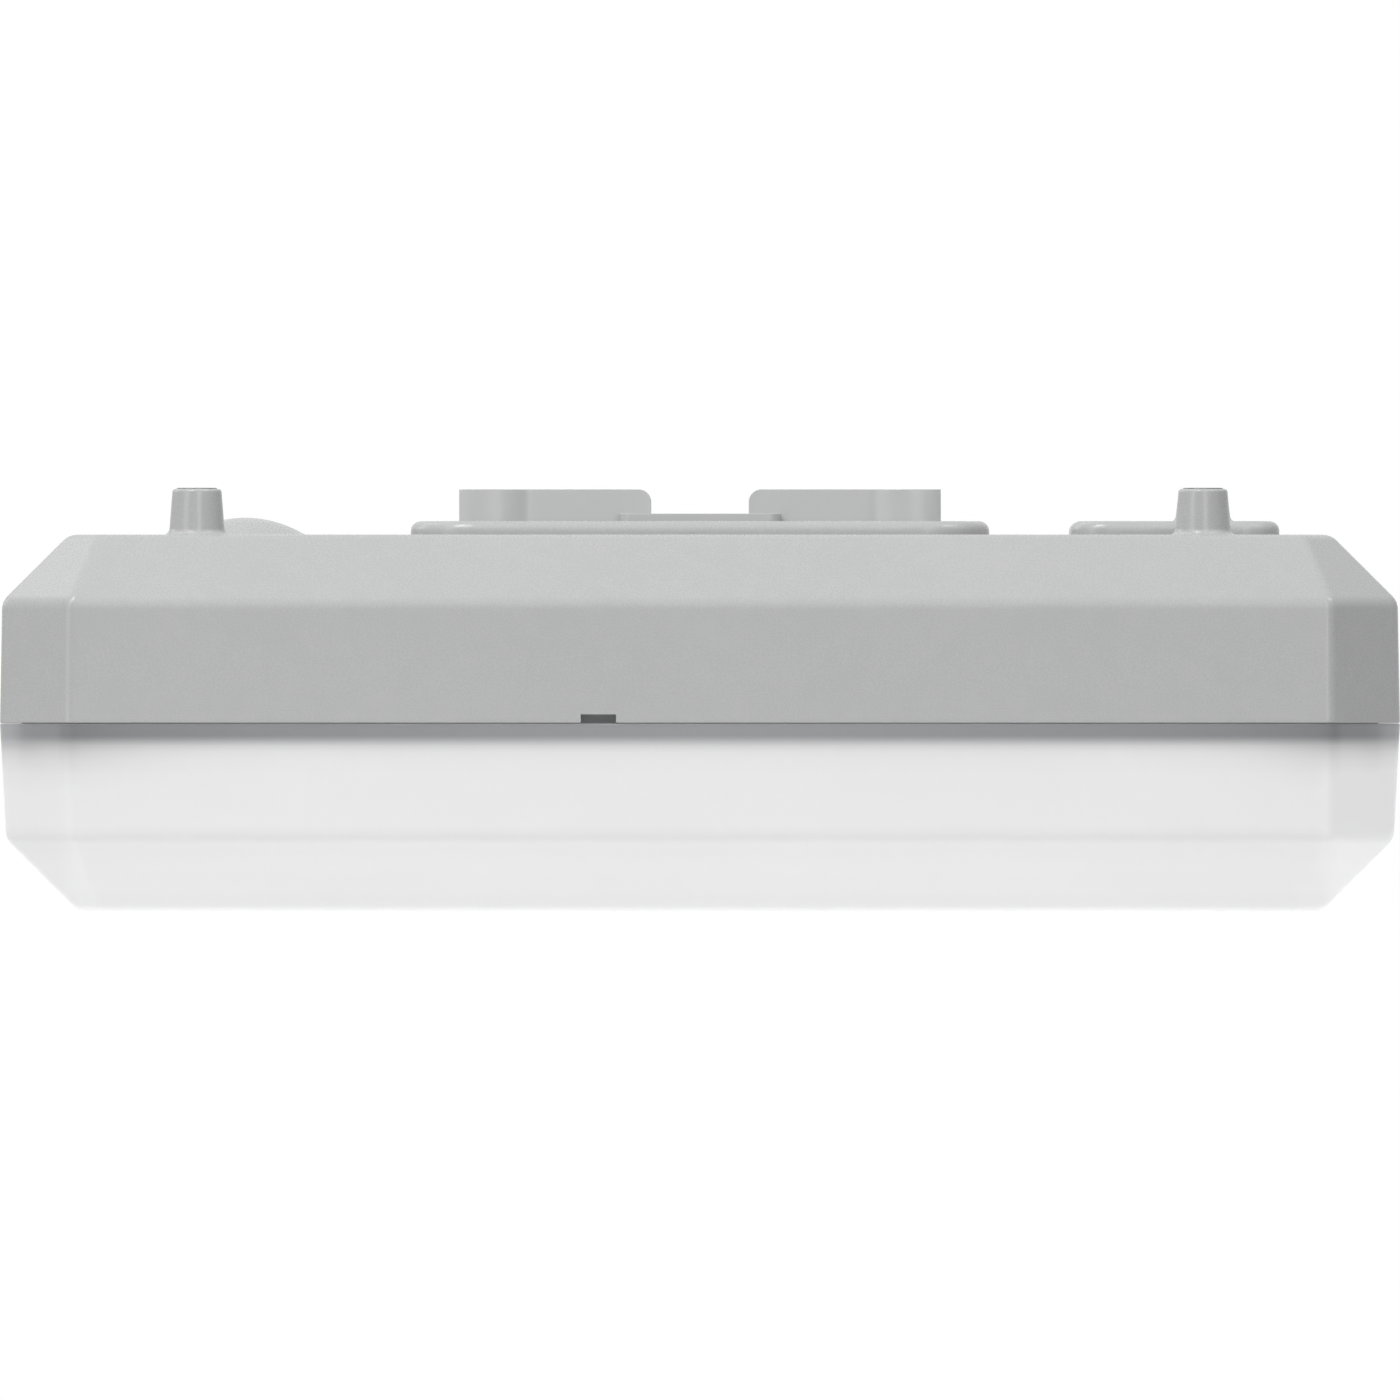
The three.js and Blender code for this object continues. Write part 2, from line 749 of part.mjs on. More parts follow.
function makeTray() {
  const floor = traySlab(trayInset, trayBottomZ, partingZ + trayRise);
  const room = traySlab(trayInset + trayWall, floorZ, partingZ + trayRise + past);
  const flangeZ = partingZ + flangeRise;
  const flange = carved(
    traySlab(housingWall + housingDraft + seat, flangeZ, flangeZ + flangeThickness),
    traySlab(trayInset + trayWall / 2, flangeZ - past, flangeZ + flangeThickness + past),
  );
  const stump = pillar(transformerX, 0, stumpRadius, floorZ - past, floorZ + stumpHeight);
  const standoffs = boardCorners().map((p) =>
    pillar(p.x, p.y, standoffRadius, floorZ - past, boardZ - seat, 12),
  );
  const cradleTop = driveZ - motorRadius / 2;
  const cradleHeight = cradleTop - floorZ + past;
  const cradles = [motorStart + frontCradleInset, motorEnd - rearCradleInset].map((x) =>
    block(x, motorY, floorZ - past, cradleThickness, 2 * motorRadius, cradleHeight),
  );
  const holes = [
    motorBore(motorRadius + seat, motorStart - past, motorEnd + motorCap + past, 40),
    bore(transformerX, 0, boltRadius + seat, floorZ + boltEndRise - seat, floorZ + stumpHeight + past),
    ...frameScrewHoles(trayBottomZ - past, floorZ + past),
    ...controlHoles(trayBottomZ - past, floorZ + past),
  ];
  const body = joined(floor.subtract(room), flange, stump, ...standoffs, ...cradles);
  add("inner_frame", carved(body, ...holes), finishes.tray);
}

function frameScrewHoles(bottom, top) {
  const places = mirrored(frameScrewX, frameScrewY);
  return places.map((p) => bore(p.x, p.y, frameScrewRadius + seat, bottom, top, 8));
}

function keyPlaces() {
  const first = boardX - displayOffset / 2 - ((keyCount - 1) / 2) * keyPitch;
  return Array.from({ length: keyCount }, (_, i) => at(first + i * keyPitch, boardY));
}

// What lets the keys and the display through a horizontal sheet.
function controlHoles(bottom, top) {
  const keys = keyPlaces().map((p) => bore(p.x, p.y, keyHole, bottom, top));
  const length = displayLength + 2 * seat;
  const width = displayWidth + 2 * seat;
  return [...keys, block(displayX, boardY, bottom, length, width, top - bottom)];
}

function makeReflector() {
  const sheet = traySlab(trayInset + seat, reflectorZ, reflectorTopZ);
  const holes = [...frameScrewHoles(0, partingZ), ...controlHoles(0, partingZ)];
  add("reflector_panel", carved(sheet, ...holes), finishes.white);
}

// A pan-head screw pointing up, its head below z = 0.
function panScrew(radius, headRadius, headHeight, length) {
  const crownRadius = 0.6 * headRadius;
  const rimHeight = 0.4 * headHeight;
  const socketWidth = 0.8 * headRadius;
  const profile = [
    at(0, -headHeight),
    at(crownRadius, -headHeight),
    at(headRadius, -rimHeight),
    at(headRadius, 0),
    at(radius, 0),
    at(radius, length - radius),
    at(0, length),
  ];
  const socket = hexagon(0, 0, socketWidth, -headHeight - past, -rimHeight);
  return turned(profile, 0, 0, 12).subtract(socket);
}

function makeFrameScrews() {
  const headZ = reflectorZ - seat;
  const length = floorZ + frameScrewReach - seat - headZ;
  mirrored(frameScrewX, frameScrewY).forEach((p, i) => {
    const screw = panScrew(frameScrewRadius, frameScrewHead, frameScrewHeadHeight, length);
    add(`frame_screw_${i + 1}`, screw, finishes.steel).position.set(p.x, p.y, headZ);
  });
}

// ---- Gearbox ----

function gearboxCorners() {
  const x = gearboxX - gearboxScrewInset;
  return [-1, 1].flatMap((sign) => [
    at(sign * x, gearboxFront + gearboxScrewInset),
    at(sign * x, gearboxRear - gearboxScrewInset),
  ]);
}

function gearboxBlock(bottom, top) {
  const width = gearboxRear - gearboxFront;
  return oblongBlock(0, (gearboxRear + gearboxFront) / 2, 2 * gearboxX, width, gearboxCorner, bottom, top);
}

// All that is hollow inside the closed gearbox.
function gearboxHollow() {
  const halfFace = wheelFace / 2 + axleClearance;
  const halfHub = wheelHubLength / 2 + seat;
  const wormRoom = gearboxX - motorBushLength - 2 * seat;
  return joined(
    bore(0, 0, wheelTipRadius + gearClearance, driveZ - halfFace, driveZ + halfFace, 24),
    bore(0, 0, wheelHubRadius + gearClearance, driveZ - halfHub, driveZ + halfHub, 16),
    motorBore(wormTipRadius + gearClearance, -wormRoom, wormRoom, 20),
    motorBore(wormBushRadius + seat, -gearboxX - past, 0),
    motorBore(motorShaftRadius + axleClearance, 0, gearboxX + past),
  );
}

function makeGearbox() {
  const bolts = gearboxCorners().map((p) =>
    bore(p.x, p.y, gearboxScrewRadius + seat, caseZ - past, lidZ + past, 8),
  );
  const hollow = gearboxHollow();
  const lowerSeat = bore(0, 0, shaftRadius + bushWall + 2 * seat, caseZ - past, driveZ);
  const lower = gearboxBlock(caseZ, driveZ - seat / 2);
  add("gearbox_case", carved(lower, hollow, lowerSeat, ...bolts), finishes.zinc);
  const neck = pillar(0, 0, hubRadius + bushWall + neckWall, lidZ - past, ceilingZ - seat, 24);
  const upperSeat = bore(0, 0, hubRadius + bushWall + 2 * seat, hubBaseZ - seat, ceilingZ + past);
  const throat = bore(0, 0, hubRadius + axleClearance, driveZ, hubBaseZ);
  const lid = gearboxBlock(driveZ + seat / 2, lidZ).add(neck);
  add("gearbox_lid", carved(lid, hollow, upperSeat, throat, ...bolts), finishes.zinc);
  const length = lidZ + gearboxScrewGrip + seat - (caseZ - seat);
  gearboxCorners().forEach((p, i) => {
    const screw = panScrew(gearboxScrewRadius, gearboxScrewHead, gearboxScrewHeadHeight, length);
    add(`gearbox_screw_${i + 1}`, screw, finishes.steel).position.set(p.x, p.y, caseZ - seat);
  });
}

function makeShaftBushes() {
  const bush = (radius, bottom) =>
    turned(sleeveProfile(radius + seat, radius + seat + bushWall, bottom, bottom + bushLength));
  add("lower_bush", bush(shaftRadius, caseZ), finishes.bronze);
  add("upper_bush", bush(hubRadius, hubBaseZ), finishes.bronze);
}

// ---- Output: shaft, worm wheel and retaining ring ----

function makeOutput() {
  const grooveRadius = shaftRadius - circlipDepth;
  const profile = [
    at(0, shaftEndZ),
    at(shaftRadius, shaftEndZ),
    at(shaftRadius, circlipZ - seat / 2),
    at(grooveRadius, circlipZ - seat / 2),
    at(grooveRadius, circlipZ + circlipThickness + seat / 2),
    at(shaftRadius, circlipZ + circlipThickness + seat / 2),
    at(shaftRadius, hubBaseZ),
    at(hubRadius, hubBaseZ),
    at(hubRadius, hubTopZ - hubEdge),
    at(hubRadius - hubEdge, hubTopZ),
    at(0, hubTopZ),
  ];
  const halfHub = wheelHubLength / 2;
  const drive = hexagon(0, 0, shaftHexFlats, driveZ - halfHub, driveZ + halfHub);
  const socket = hexagon(0, 0, socketFlats, hubTopZ - socketDepth, hubTopZ + past);
  add("output_shaft", turned(profile).add(drive).subtract(socket), finishes.steel);
  const inner = grooveRadius + seat;
  const ring = turned(sleeveProfile(inner, inner + circlipWidth, circlipZ, circlipZ + circlipThickness));
  const mouthX = inner + circlipWidth / 2;
  const mouthDepth = circlipThickness + 2 * past;
  const mouth = block(mouthX, 0, circlipZ - past, 2 * circlipWidth, grooveRadius, mouthDepth);
  add("shaft_circlip", ring.subtract(mouth), finishes.steel);
}

// The teeth lean with the worm's thread: the outline turns as it rises.
function wheelGeometry() {
  const rootRadius = wheelPitchRadius - dedendum;
  const halfTooth = wormLead / 4 - toothSlack / 2;
  const halfTip = halfTooth - gearModule * Math.tan(pressureAngle);
  const halfRoot = halfTooth + dedendum * Math.tan(pressureAngle);
  const corners = [
    at(rootRadius, -halfRoot),
    at(wheelTipRadius, -halfTip),
    at(wheelTipRadius, halfTip),
    at(rootRadius, halfRoot),
  ];
  const points = [];
  for (let tooth = 0; tooth < wheelTeeth; tooth++) {
    const middle = Math.PI / 2 + (2 * Math.PI * tooth) / wheelTeeth;
    corners.forEach((corner) => {
      const angle = middle + corner.y / corner.x;
      points.push(at(corner.x * Math.cos(angle), corner.x * Math.sin(angle)));
    });
  }
  const options = { depth: wheelFace, bevelEnabled: false };
  const geometry = new THREE.ExtrudeGeometry(new THREE.Shape(points), options);
  geometry.translate(0, 0, -wheelFace / 2);
  const lean = wormLead / (2 * Math.PI * wormPitchRadius) / wheelPitchRadius;
  return twisted(geometry, lean);
}

function twisted(geometry, turnPerLength) {
  const position = geometry.attributes.position;
  const point = new THREE.Vector3();
  const upright = new THREE.Vector3(0, 0, 1);
  for (let i = 0; i < position.count; i++) {
    point.fromBufferAttribute(position, i);
    point.applyAxisAngle(upright, point.z * turnPerLength);
    position.setXYZ(i, point.x, point.y, point.z);
  }
  return geometry;
}

function makeWheel() {
  const teeth = solid(wheelGeometry().translate(0, 0, driveZ));
  const hub = pillar(0, 0, wheelHubRadius, driveZ - wheelHubLength / 2, driveZ + wheelHubLength / 2, 24);
  const hexHole = hexagon(0, 0, shaftHexFlats + 2 * seat, driveZ - wheelHubLength, driveZ + wheelHubLength);
  add("worm_wheel", teeth.add(hub).subtract(hexHole), finishes.nylon);
}

// ---- Motor: everything here is turned about the motor's own axis, local Z being world X ----

const drive = new THREE.Group();
drive.setRotationFromMatrix(alongX);
drive.position.set(0, motorY, driveZ);
opener.add(drive);

// One turn of the thread's section: the radius follows a straight-flanked rack wound once round.
function wormGeometry() {
  const sides = 12;
  const rootRadius = wormPitchRadius - dedendum;
  const halfThread = wormLead / 4 - toothSlack / 2;
  const points = Array.from({ length: sides }, (_, i) => {
    const offset = Math.abs(i - sides / 2) / sides;
    const fromCrest = (0.5 - offset) * wormLead;
    const flank = wormPitchRadius + (halfThread - fromCrest) / Math.tan(pressureAngle);
    const radius = THREE.MathUtils.clamp(flank, rootRadius, wormTipRadius);
    const angle = (2 * Math.PI * i) / sides;
    return at(radius * Math.cos(angle), radius * Math.sin(angle));
  });
  const shape = new THREE.Shape(points);
  const options = { depth: wormLength, bevelEnabled: false, steps: wormTurns * sides };
  const geometry = new THREE.ExtrudeGeometry(shape, options).translate(0, 0, -wormLength / 2);
  return twisted(geometry, (2 * Math.PI) / wormLead);
}

function makeRotor() {
  const shaftEnd = motorEnd + motorCap - motorShaftEndGap;
  const shaft = pillar(0, 0, motorShaftRadius, encoderX - motorShaftTail, shaftEnd, 16);
  add("motor_shaft", shaft, finishes.steel, drive);
  const axle = bore(0, 0, motorShaftRadius + seat, -bodyLength, bodyLength);
  add("worm", solid(wormGeometry()).subtract(axle), finishes.steel, drive);
  const armatureRadius = motorRadius - motorShell - seat - magnetThickness - airGap;
  const armatureStart = motorStart + motorPlate + motorBushLength;
  const core = pillar(0, 0, armatureRadius, armatureStart, armatureStart + armatureLength, 28);
  const slotDepth = 2 * (armatureRadius - armatureSlotFloor);
  const slots = Array.from({ length: armatureSlots }, (_, i) => {
    const slot = new THREE.BoxGeometry(slotDepth, armatureSlotWidth, armatureLength + 2 * past);
    slot.translate(armatureRadius, 0, armatureStart + armatureLength / 2);
    return solid(slot.rotateZ((2 * Math.PI * i) / armatureSlots));
  });
  add("armature", carved(core, axle, ...slots), finishes.copper, drive);
  const start = armatureStart + armatureLength + seat;
  const end = start + commutatorLength;
  const segments = sleeveProfile(motorShaftRadius + seat, commutatorRadius, start, end);
  add("commutator", turned(segments, 0, 0, 16), finishes.brass, drive);
  add("encoder_disc", encoder(), finishes.darkPlastic, drive);
}

function encoder() {
  const end = encoderX + encoderThickness;
  const profile = sleeveProfile(motorShaftRadius + seat, encoderRadius, encoderX, end);
  const depth = encoderThickness + 2 * past;
  const slots = Array.from({ length: encoderSlots }, (_, i) => {
    const slot = new THREE.BoxGeometry(encoderSlotLength, encoderSlotWidth, depth);
    slot.translate(encoderRadius - encoderSlotInset, 0, encoderX + encoderThickness / 2);
    return solid(slot.rotateZ((2 * Math.PI * i) / encoderSlots));
  });
  return carved(turned(profile, 0, 0, 20), ...slots);
}

function makeMotor() {
  const inner = motorRadius - motorShell;
  const bushSeat = wormBushRadius + seat;
  const shell = [
    at(bushSeat, motorStart),
    at(motorRadius - motorEdge, motorStart),
    at(motorRadius, motorStart + motorEdge),
    at(motorRadius, motorEnd),
    at(inner, motorEnd),
    at(inner, motorStart + motorPlate),
    at(bushSeat, motorStart + motorPlate),
    at(bushSeat, motorStart),
  ];
  add("motor_can", turned(shell, 0, 0, 30), finishes.zinc, drive);
  const capStart = motorEnd + seat;
  const capEnd = capStart + motorCap;
  const cap = [
    at(0, capEnd + motorEdge),
    at(bushSeat, capEnd + motorEdge),
    at(bushSeat + 2 * motorEdge, capEnd - motorEdge),
    at(motorRadius - motorEdge, capEnd - motorEdge),
    at(motorRadius, capEnd - 2 * motorEdge),
    at(motorRadius, capStart),
    at(bushSeat, capStart),
    at(bushSeat, capEnd),
    at(0, capEnd),
  ];
  add("motor_end_cap", turned(cap.reverse(), 0, 0, 30), finishes.darkPlastic, drive);
  const bushBore = motorShaftRadius + seat;
  const bush = (start) =>
    turned(sleeveProfile(bushBore, wormBushRadius, start, start + motorBushLength), 0, 0, 14);
  add("worm_bush", bush(-gearboxX), finishes.bronze, drive);
  add("front_motor_bush", bush(motorStart), finishes.bronze, drive);
  add("rear_motor_bush", bush(capEnd - motorBushLength - seat), finishes.bronze, drive);
  ["upper_magnet", "lower_magnet"].forEach((name, i) => {
    add(name, magnet(i * Math.PI), finishes.ferrite, drive);
  });
}

function magnet(direction) {
  const outer = motorRadius - motorShell - seat;
  const first = Math.PI / 2 + direction - magnetArc / 2;
  const last = first + magnetArc;
  const path = new THREE.Path();
  path.absarc(0, 0, outer, first, last);
  path.absarc(0, 0, outer - magnetThickness, last, first, true);
  const start = motorStart + motorPlate + motorBushLength - magnetOverhang;
  return extruded(path.getPoints(9), start, start + armatureLength + 2 * magnetOverhang);
}

// The light barrier that reads the slotted disc, standing on the tray's floor.
function makeSensor() {
  const start = encoderX - encoderGap;
  const end = -gearboxX - seat;
  const bottom = floorZ + seat;
  const top = driveZ - sensorDrop;
  const body = block((start + end) / 2, motorY, bottom, end - start, sensorWidth, top - bottom);
  const gapX = encoderX + encoderThickness / 2;
  const gapLength = encoderThickness + 2 * sensorSideClearance;
  const gapZ = driveZ - encoderRadius - sensorFloorClearance;
  const gap = block(gapX, motorY, gapZ, gapLength, sensorWidth + 2 * past, encoderRadius);
  add("speed_sensor", body.subtract(gap), finishes.darkPlastic);
}

// ---- Transformer ----

function makeTransformer() {
  const corners = [
    at(transformerHole, coilZ),
    at(transformerRadius, coilZ),
    at(transformerRadius, coilTopZ),
    at(transformerHole, coilTopZ),
  ];
  const section = softened(corners, transformerRound);
  add("transformer_coil", turned([...section, section[0].clone()], transformerX, 0, 28), finishes.tape);
  const padRadius = transformerRadius - transformerPadInset;
  const pad = sleeveProfile(stumpRadius + seat, padRadius, floorZ + seat, padTopZ);
  add("transformer_pad", turned(pad, transformerX, 0, 20), finishes.rubber);
  const washer = sleeveProfile(boltRadius + seat, washerRadius, coilTopZ + seat, washerTopZ);
  add("transformer_washer", turned(washer, transformerX, 0, 20), finishes.steel);
  const headZ = washerTopZ + seat;
  const shank = pillar(transformerX, 0, boltRadius, floorZ + boltEndRise, headZ + past, 16);
  const head = hexagon(transformerX, 0, boltHeadFlats, headZ, headZ + boltHeadHeight);
  add("transformer_bolt", shank.add(head), finishes.steel);
}

// ---- Control board and what it carries ----

function boardCorners() {
  const x = boardLength / 2 - standoffInset;
  const y = boardWidth / 2 - standoffInset;
  return mirrored(x, y).map((p) => at(p.x + boardX, p.y + boardY));
}

function makeBoard() {
  const board = block(boardX, boardY, boardZ, boardLength, boardWidth, boardThickness);
  add("control_board", board, finishes.board);
  const right = boardStart + boardLength;
  const front = boardY - boardWidth / 2;
  const rear = boardY + boardWidth / 2;
  const top = boardTopZ + seat;
  ["relay_up", "relay_down"].forEach((name, i) => {
    const x = boardStart + relayEndInset + i * relayPitch;
    const relay = block(x, front + relaySideInset, top, relayLength, relayWidth, relayHeight);
    add(name, relay, finishes.relay);
  });
  const radioX = right - radioEndInset;
  const radio = block(radioX, rear - radioSideInset, top, radioLength, radioThickness, radioHeight);
  add("radio_module", radio, finishes.board);
  const fuseX = radioX - radioLength / 2 - fuseGap - fuseLength / 2;
  const fuse = block(fuseX, rear - fuseSideInset, top, fuseLength, fuseWidth, fuseHeight);
  add("fuse_holder", fuse, finishes.darkPlastic);
  const terminalX = right - terminalEndInset;
  const terminalY = front + terminalSideInset;
  const terminalLength = terminalWays * terminalPitch;
  const body = block(terminalX, terminalY, top, terminalLength, terminalWidth, terminalHeight);
  const mouths = Array.from({ length: terminalWays }, (_, i) => {
    const x = terminalX + (i - (terminalWays - 1) / 2) * terminalPitch;
    const y = terminalY - terminalWidth / 2;
    return block(x, y, top + terminalMouthRise, terminalMouth, 2 * terminalMouthDepth, terminalMouth);
  });
  add("terminal_block", carved(body, ...mouths), finishes.relay);
  const canTop = top + capacitorHeight;
  const can = [
    at(0, top),
    at(capacitorRadius, top),
    at(capacitorRadius, canTop - capacitorEdge),
    at(capacitorRadius - capacitorEdge, canTop),
    at(0, canTop),
  ];
  const capacitorX = fuseX - fuseLength / 2 - capacitorGap - capacitorRadius;
  const capacitor = turned(can, capacitorX, rear - capacitorSideInset, 24);
  add("smoothing_capacitor", capacitor, finishes.darkPlastic);
}

function makeControls() {
  const displayHeight = boardZ - bezelTopZ - 2 * seat;
  const display = block(displayX, boardY, bezelTopZ + seat, displayLength, displayWidth, displayHeight);
  add("display", display, finishes.darkPlastic);
  const windowLength = displayLength - 2 * displayMargin;
  const windowWidth = displayWidth - 2 * displayMargin;
  const window = block(displayX, boardY, 0, windowLength, windowWidth, partingZ);
  const holes = keyPlaces().map((p) => bore(p.x, p.y, keyHole, 0, partingZ));
  const bezel = oblongBlock(boardX, boardY, bezelLength, bezelWidth, bezelCorner, bezelZ, bezelTopZ);
  add("control_bezel", carved(bezel, window, ...holes), finishes.darkPlastic);
  const flangeZ = floorZ + seat;
  const profile = [
    at(0, bezelZ - keyProud),
    at(keyRadius - keyEdge, bezelZ - keyProud),
    at(keyRadius, bezelZ - keyProud + keyEdge),
    at(keyRadius, flangeZ),
    at(keyRadius + keyFlange, flangeZ),
    at(keyRadius + keyFlange, flangeZ + keyFlangeThickness),
    at(keyRadius / 2, flangeZ + keyFlangeThickness),
    at(keyRadius / 2, keyTopZ),
    at(0, keyTopZ),
  ];
  keyPlaces().forEach((p, i) => {
    add(`key_${i + 1}`, turned(profile, 0, 0, 14), finishes.white).position.set(p.x, p.y, 0);
    const button = block(0, 0, switchZ, switchSize, switchSize, switchHeight);
    add(`key_switch_${i + 1}`, button, finishes.darkPlastic).position.set(p.x, p.y, 0);
  });
}

function makeLamps() {
  [-1, 1].forEach((side) => {
    const board = block(side * lampOffsetX, lampY, lampZ, lampLength, lampWidth, lampThickness);
    const leds = Array.from({ length: ledCount }, (_, i) => {
      const x = side * lampOffsetX + ((i + 0.5) / ledCount - 0.5) * lampLength;
      return block(x, lampY, lampZ - ledHeight, ledSize, ledSize, ledHeight + past);
    });
    add(side < 0 ? "led_board_left" : "led_board_right", joined(board, ...leds), finishes.white);
  });
}

// ---- Rear wall ----

function makeInlet() {
  const front = rearWallY - inletRecess;
  const middle = front - inletDepth / 2;
  const body = block(inletX, middle, inletZ - inletHeight / 2, inletLength, inletDepth, inletHeight);
  const lipY = rearWallInside - seat - inletLipThickness / 2;
  const lipLength = inletLength + 2 * inletLip;
  const lipHeight = inletHeight + 2 * inletLip;
  const lip = block(inletX, lipY, inletZ - lipHeight / 2, lipLength, inletLipThickness, lipHeight);
  const cavityY = front - cavityDepth / 2 + past;
  const cavityZ = inletZ - cavityHeight / 2;
  const cavity = block(inletX, cavityY, cavityZ, cavityLength, cavityDepth + 2 * past, cavityHeight);
  const pinY = front - cavityDepth / 2 - pinRecess;
  const pins = [-1, 0, 1].map((i) =>
    block(inletX + i * pinSpacing, pinY, inletZ - pinHeight / 2, pinThickness, cavityDepth, pinHeight),
  );
  add("mains_inlet", joined(body.add(lip).subtract(cavity), ...pins), finishes.darkPlastic);
}

// A blind grommet: its membrane is pierced when a cable is led in.
function makeGrommet() {
  const barbStart = rearWallInside - seat - grommetBarb;
  const barbEnd = rearWallInside - seat;
  const lipStart = rearWallY - grommetLipThickness;
  const membrane = (barbEnd + lipStart - membraneThickness) / 2;
  const profile = [
    at(0, membrane),
    at(grommetBore, membrane),
    at(grommetBore, barbStart),
    at(grommetRadius + grommetBarb, barbStart),
    at(grommetRadius + grommetBarb, barbEnd),
    at(grommetRadius, barbEnd),
    at(grommetRadius, lipStart),
    at(grommetLipRadius, lipStart),
    at(grommetLipRadius, rearWallY),
    at(grommetBore, rearWallY),
    at(grommetBore, membrane + membraneThickness),
    at(0, membrane + membraneThickness),
  ];
  const geometry = new THREE.LatheGeometry(profile, 16).translate(grommetX, 0, inletZ);
  add("cable_grommet", solid(geometry), finishes.rubber);
}

makeHousing();
makeRailSaddle();
makeInserts();
makeLens();
makeTray();
makeReflector();
makeFrameScrews();
makeGearbox();
makeShaftBushes();
makeOutput();
makeWheel();
makeRotor();
makeMotor();
makeSensor();
makeTransformer();
makeBoard();
makeControls();
makeLamps();
makeInlet();
makeGrommet();

export default opener;
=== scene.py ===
"""Skins, finishes and stage of a ceiling-mounted garage door opener head, laid over its engineering frame."""

import math

import bmesh
import bpy
import numpy as np
from bpy.props import FloatProperty, FloatVectorProperty, PointerProperty
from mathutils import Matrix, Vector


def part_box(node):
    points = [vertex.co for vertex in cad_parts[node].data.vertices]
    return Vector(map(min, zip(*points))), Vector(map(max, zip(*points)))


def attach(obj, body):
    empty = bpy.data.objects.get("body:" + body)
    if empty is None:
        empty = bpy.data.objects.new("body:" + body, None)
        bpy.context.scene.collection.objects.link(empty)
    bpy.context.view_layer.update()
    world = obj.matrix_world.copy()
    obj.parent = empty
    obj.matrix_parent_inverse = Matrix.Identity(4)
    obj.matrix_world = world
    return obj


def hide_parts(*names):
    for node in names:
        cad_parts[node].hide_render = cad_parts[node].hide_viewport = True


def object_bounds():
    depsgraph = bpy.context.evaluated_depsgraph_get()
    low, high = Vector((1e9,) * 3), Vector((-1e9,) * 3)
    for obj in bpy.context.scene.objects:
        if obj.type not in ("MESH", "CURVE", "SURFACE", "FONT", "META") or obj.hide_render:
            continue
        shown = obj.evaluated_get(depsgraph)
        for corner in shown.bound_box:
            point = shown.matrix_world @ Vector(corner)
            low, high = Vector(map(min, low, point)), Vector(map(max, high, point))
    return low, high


bl_info = {
    "name": "Garage Door Opener Head",
    "version": (1, 0, 0),
    "blender": (4, 5, 0),
    "location": "3D View > Sidebar > Opener",
    "description": "Builds the moulded skins, fittings, finishes and stage of a door opener head",
    "category": "Object",
}

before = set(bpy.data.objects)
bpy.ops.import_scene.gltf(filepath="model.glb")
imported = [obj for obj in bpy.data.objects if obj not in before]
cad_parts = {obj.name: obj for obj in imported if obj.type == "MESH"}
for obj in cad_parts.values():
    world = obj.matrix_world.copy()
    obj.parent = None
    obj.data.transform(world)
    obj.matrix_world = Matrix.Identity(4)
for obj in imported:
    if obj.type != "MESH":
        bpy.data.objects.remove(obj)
frame_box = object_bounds()

MM = 0.001
RIM_RISE = 0.15 * MM  # how much nearer the housing the light cover's rim stands than on the frame
SUNK = 0.1 * MM  # how far the rim of a foot lies under the face that it grows from
INSERT_FLANGE = 0.9 * MM  # thickness of a threaded insert's flange
INLET_LIP = 3 * MM  # how far the mains inlet's rim stands out round the hole that it is pushed through
BLEND = 0.35 * MM  # how widely a bulge runs out into the face that it stands on

# Two lamps: azimuth and elevation in degrees, share of the key level. Their distance and size are in metres.
LAMPS = ((-40, 52, 0.82), (66, 50, 0.31))
LAMP_DISTANCE = 2.5
LAMP_SIZE = (0.58, 1.67)

# Light boxes in reflections: azimuth and half width in degrees, lowest and highest sine of elevation, share of level.
MIRRORED_BOXES = (
    (-50, 7, -0.1, 0.8, 0.55),
    (11, 4.5, -0.1, 0.8, 0.85),
    (-40, 8, 0.8, 0.95, 3.8),
    (66, 8, 0.78, 0.93, 1.4),
    (-122, 9, 0.2, 0.5, 0.5),
    (-135, 15, 0.5, 0.9, 0.2),
)
BOX_FADE = 3  # degrees over which a light box fades out at each side
BACKDROP_FADE = (0.6, 1.0)  # share of Y in a reflection's direction over which the backdrop comes in

# The floor's own light. What lights the object fades out over these distances in metres past the casing's sides,
# and what the camera sees grows by LIFT_GAIN over these distances from the middle.
GLOW_FADE = (0.12, 0.25)
LIFT_FADE = (0.35, 0.6)
LIFT_GAIN = 0.5
FLOOR_THICKNESS = 0.01 * MM

# Painted shade and light on the frosted cover, as (place, share of its colour) pairs. The place is the depth under
# the rim over COVER_FADE in COVER_PAINTED_SHADE, SKIRT_SHADOW_DEPTH and CORNER_PAINTED_SHADE, |x| over the half
# length in SKIRT_SHADOW_ALONG and CORNER_SHADE_ALONG, and x from end to end in ACROSS_PAINTED_LIGHT.
# COVER_PAINTED_SHADE paints shade in the band under the rim, where the tray's skirt would shade the cover, and in
# the bend above the lower bevel. SKIRT_SHADOW_DEPTH says how far SKIRT_SHADOW_ALONG counts, a painted shadow that
# deepens towards the ends and turns to painted light past the tray's ends, and turns ACROSS_PAINTED_LIGHT the
# other way round. ACROSS_PAINTED_LIGHT paints the left end darker and the right end lighter. The two for the
# corners paint shade beside the upright corner edges and are multiplied.
COVER_FADE = 54 * MM
COVER_PAINTED_SHADE = (
    ((0.0, 0.33), (0.015, 0.39), (0.059, 0.39), (0.074, 0.46), (0.093, 0.63), (0.113, 0.81), (0.144, 0.94))
    + ((0.185, 0.98), (0.26, 1.0), (0.52, 1.0), (0.56, 0.97), (0.585, 0.94), (0.61, 0.94), (0.65, 0.93))
    + ((0.74, 0.94), (0.79, 0.93), (0.86, 0.93), (0.9, 0.91), (1.0, 0.93))
)
SKIRT_SHADOW_DEPTH = ((0.0, 1.0), (0.06, 1.0), (0.11, 0.0))
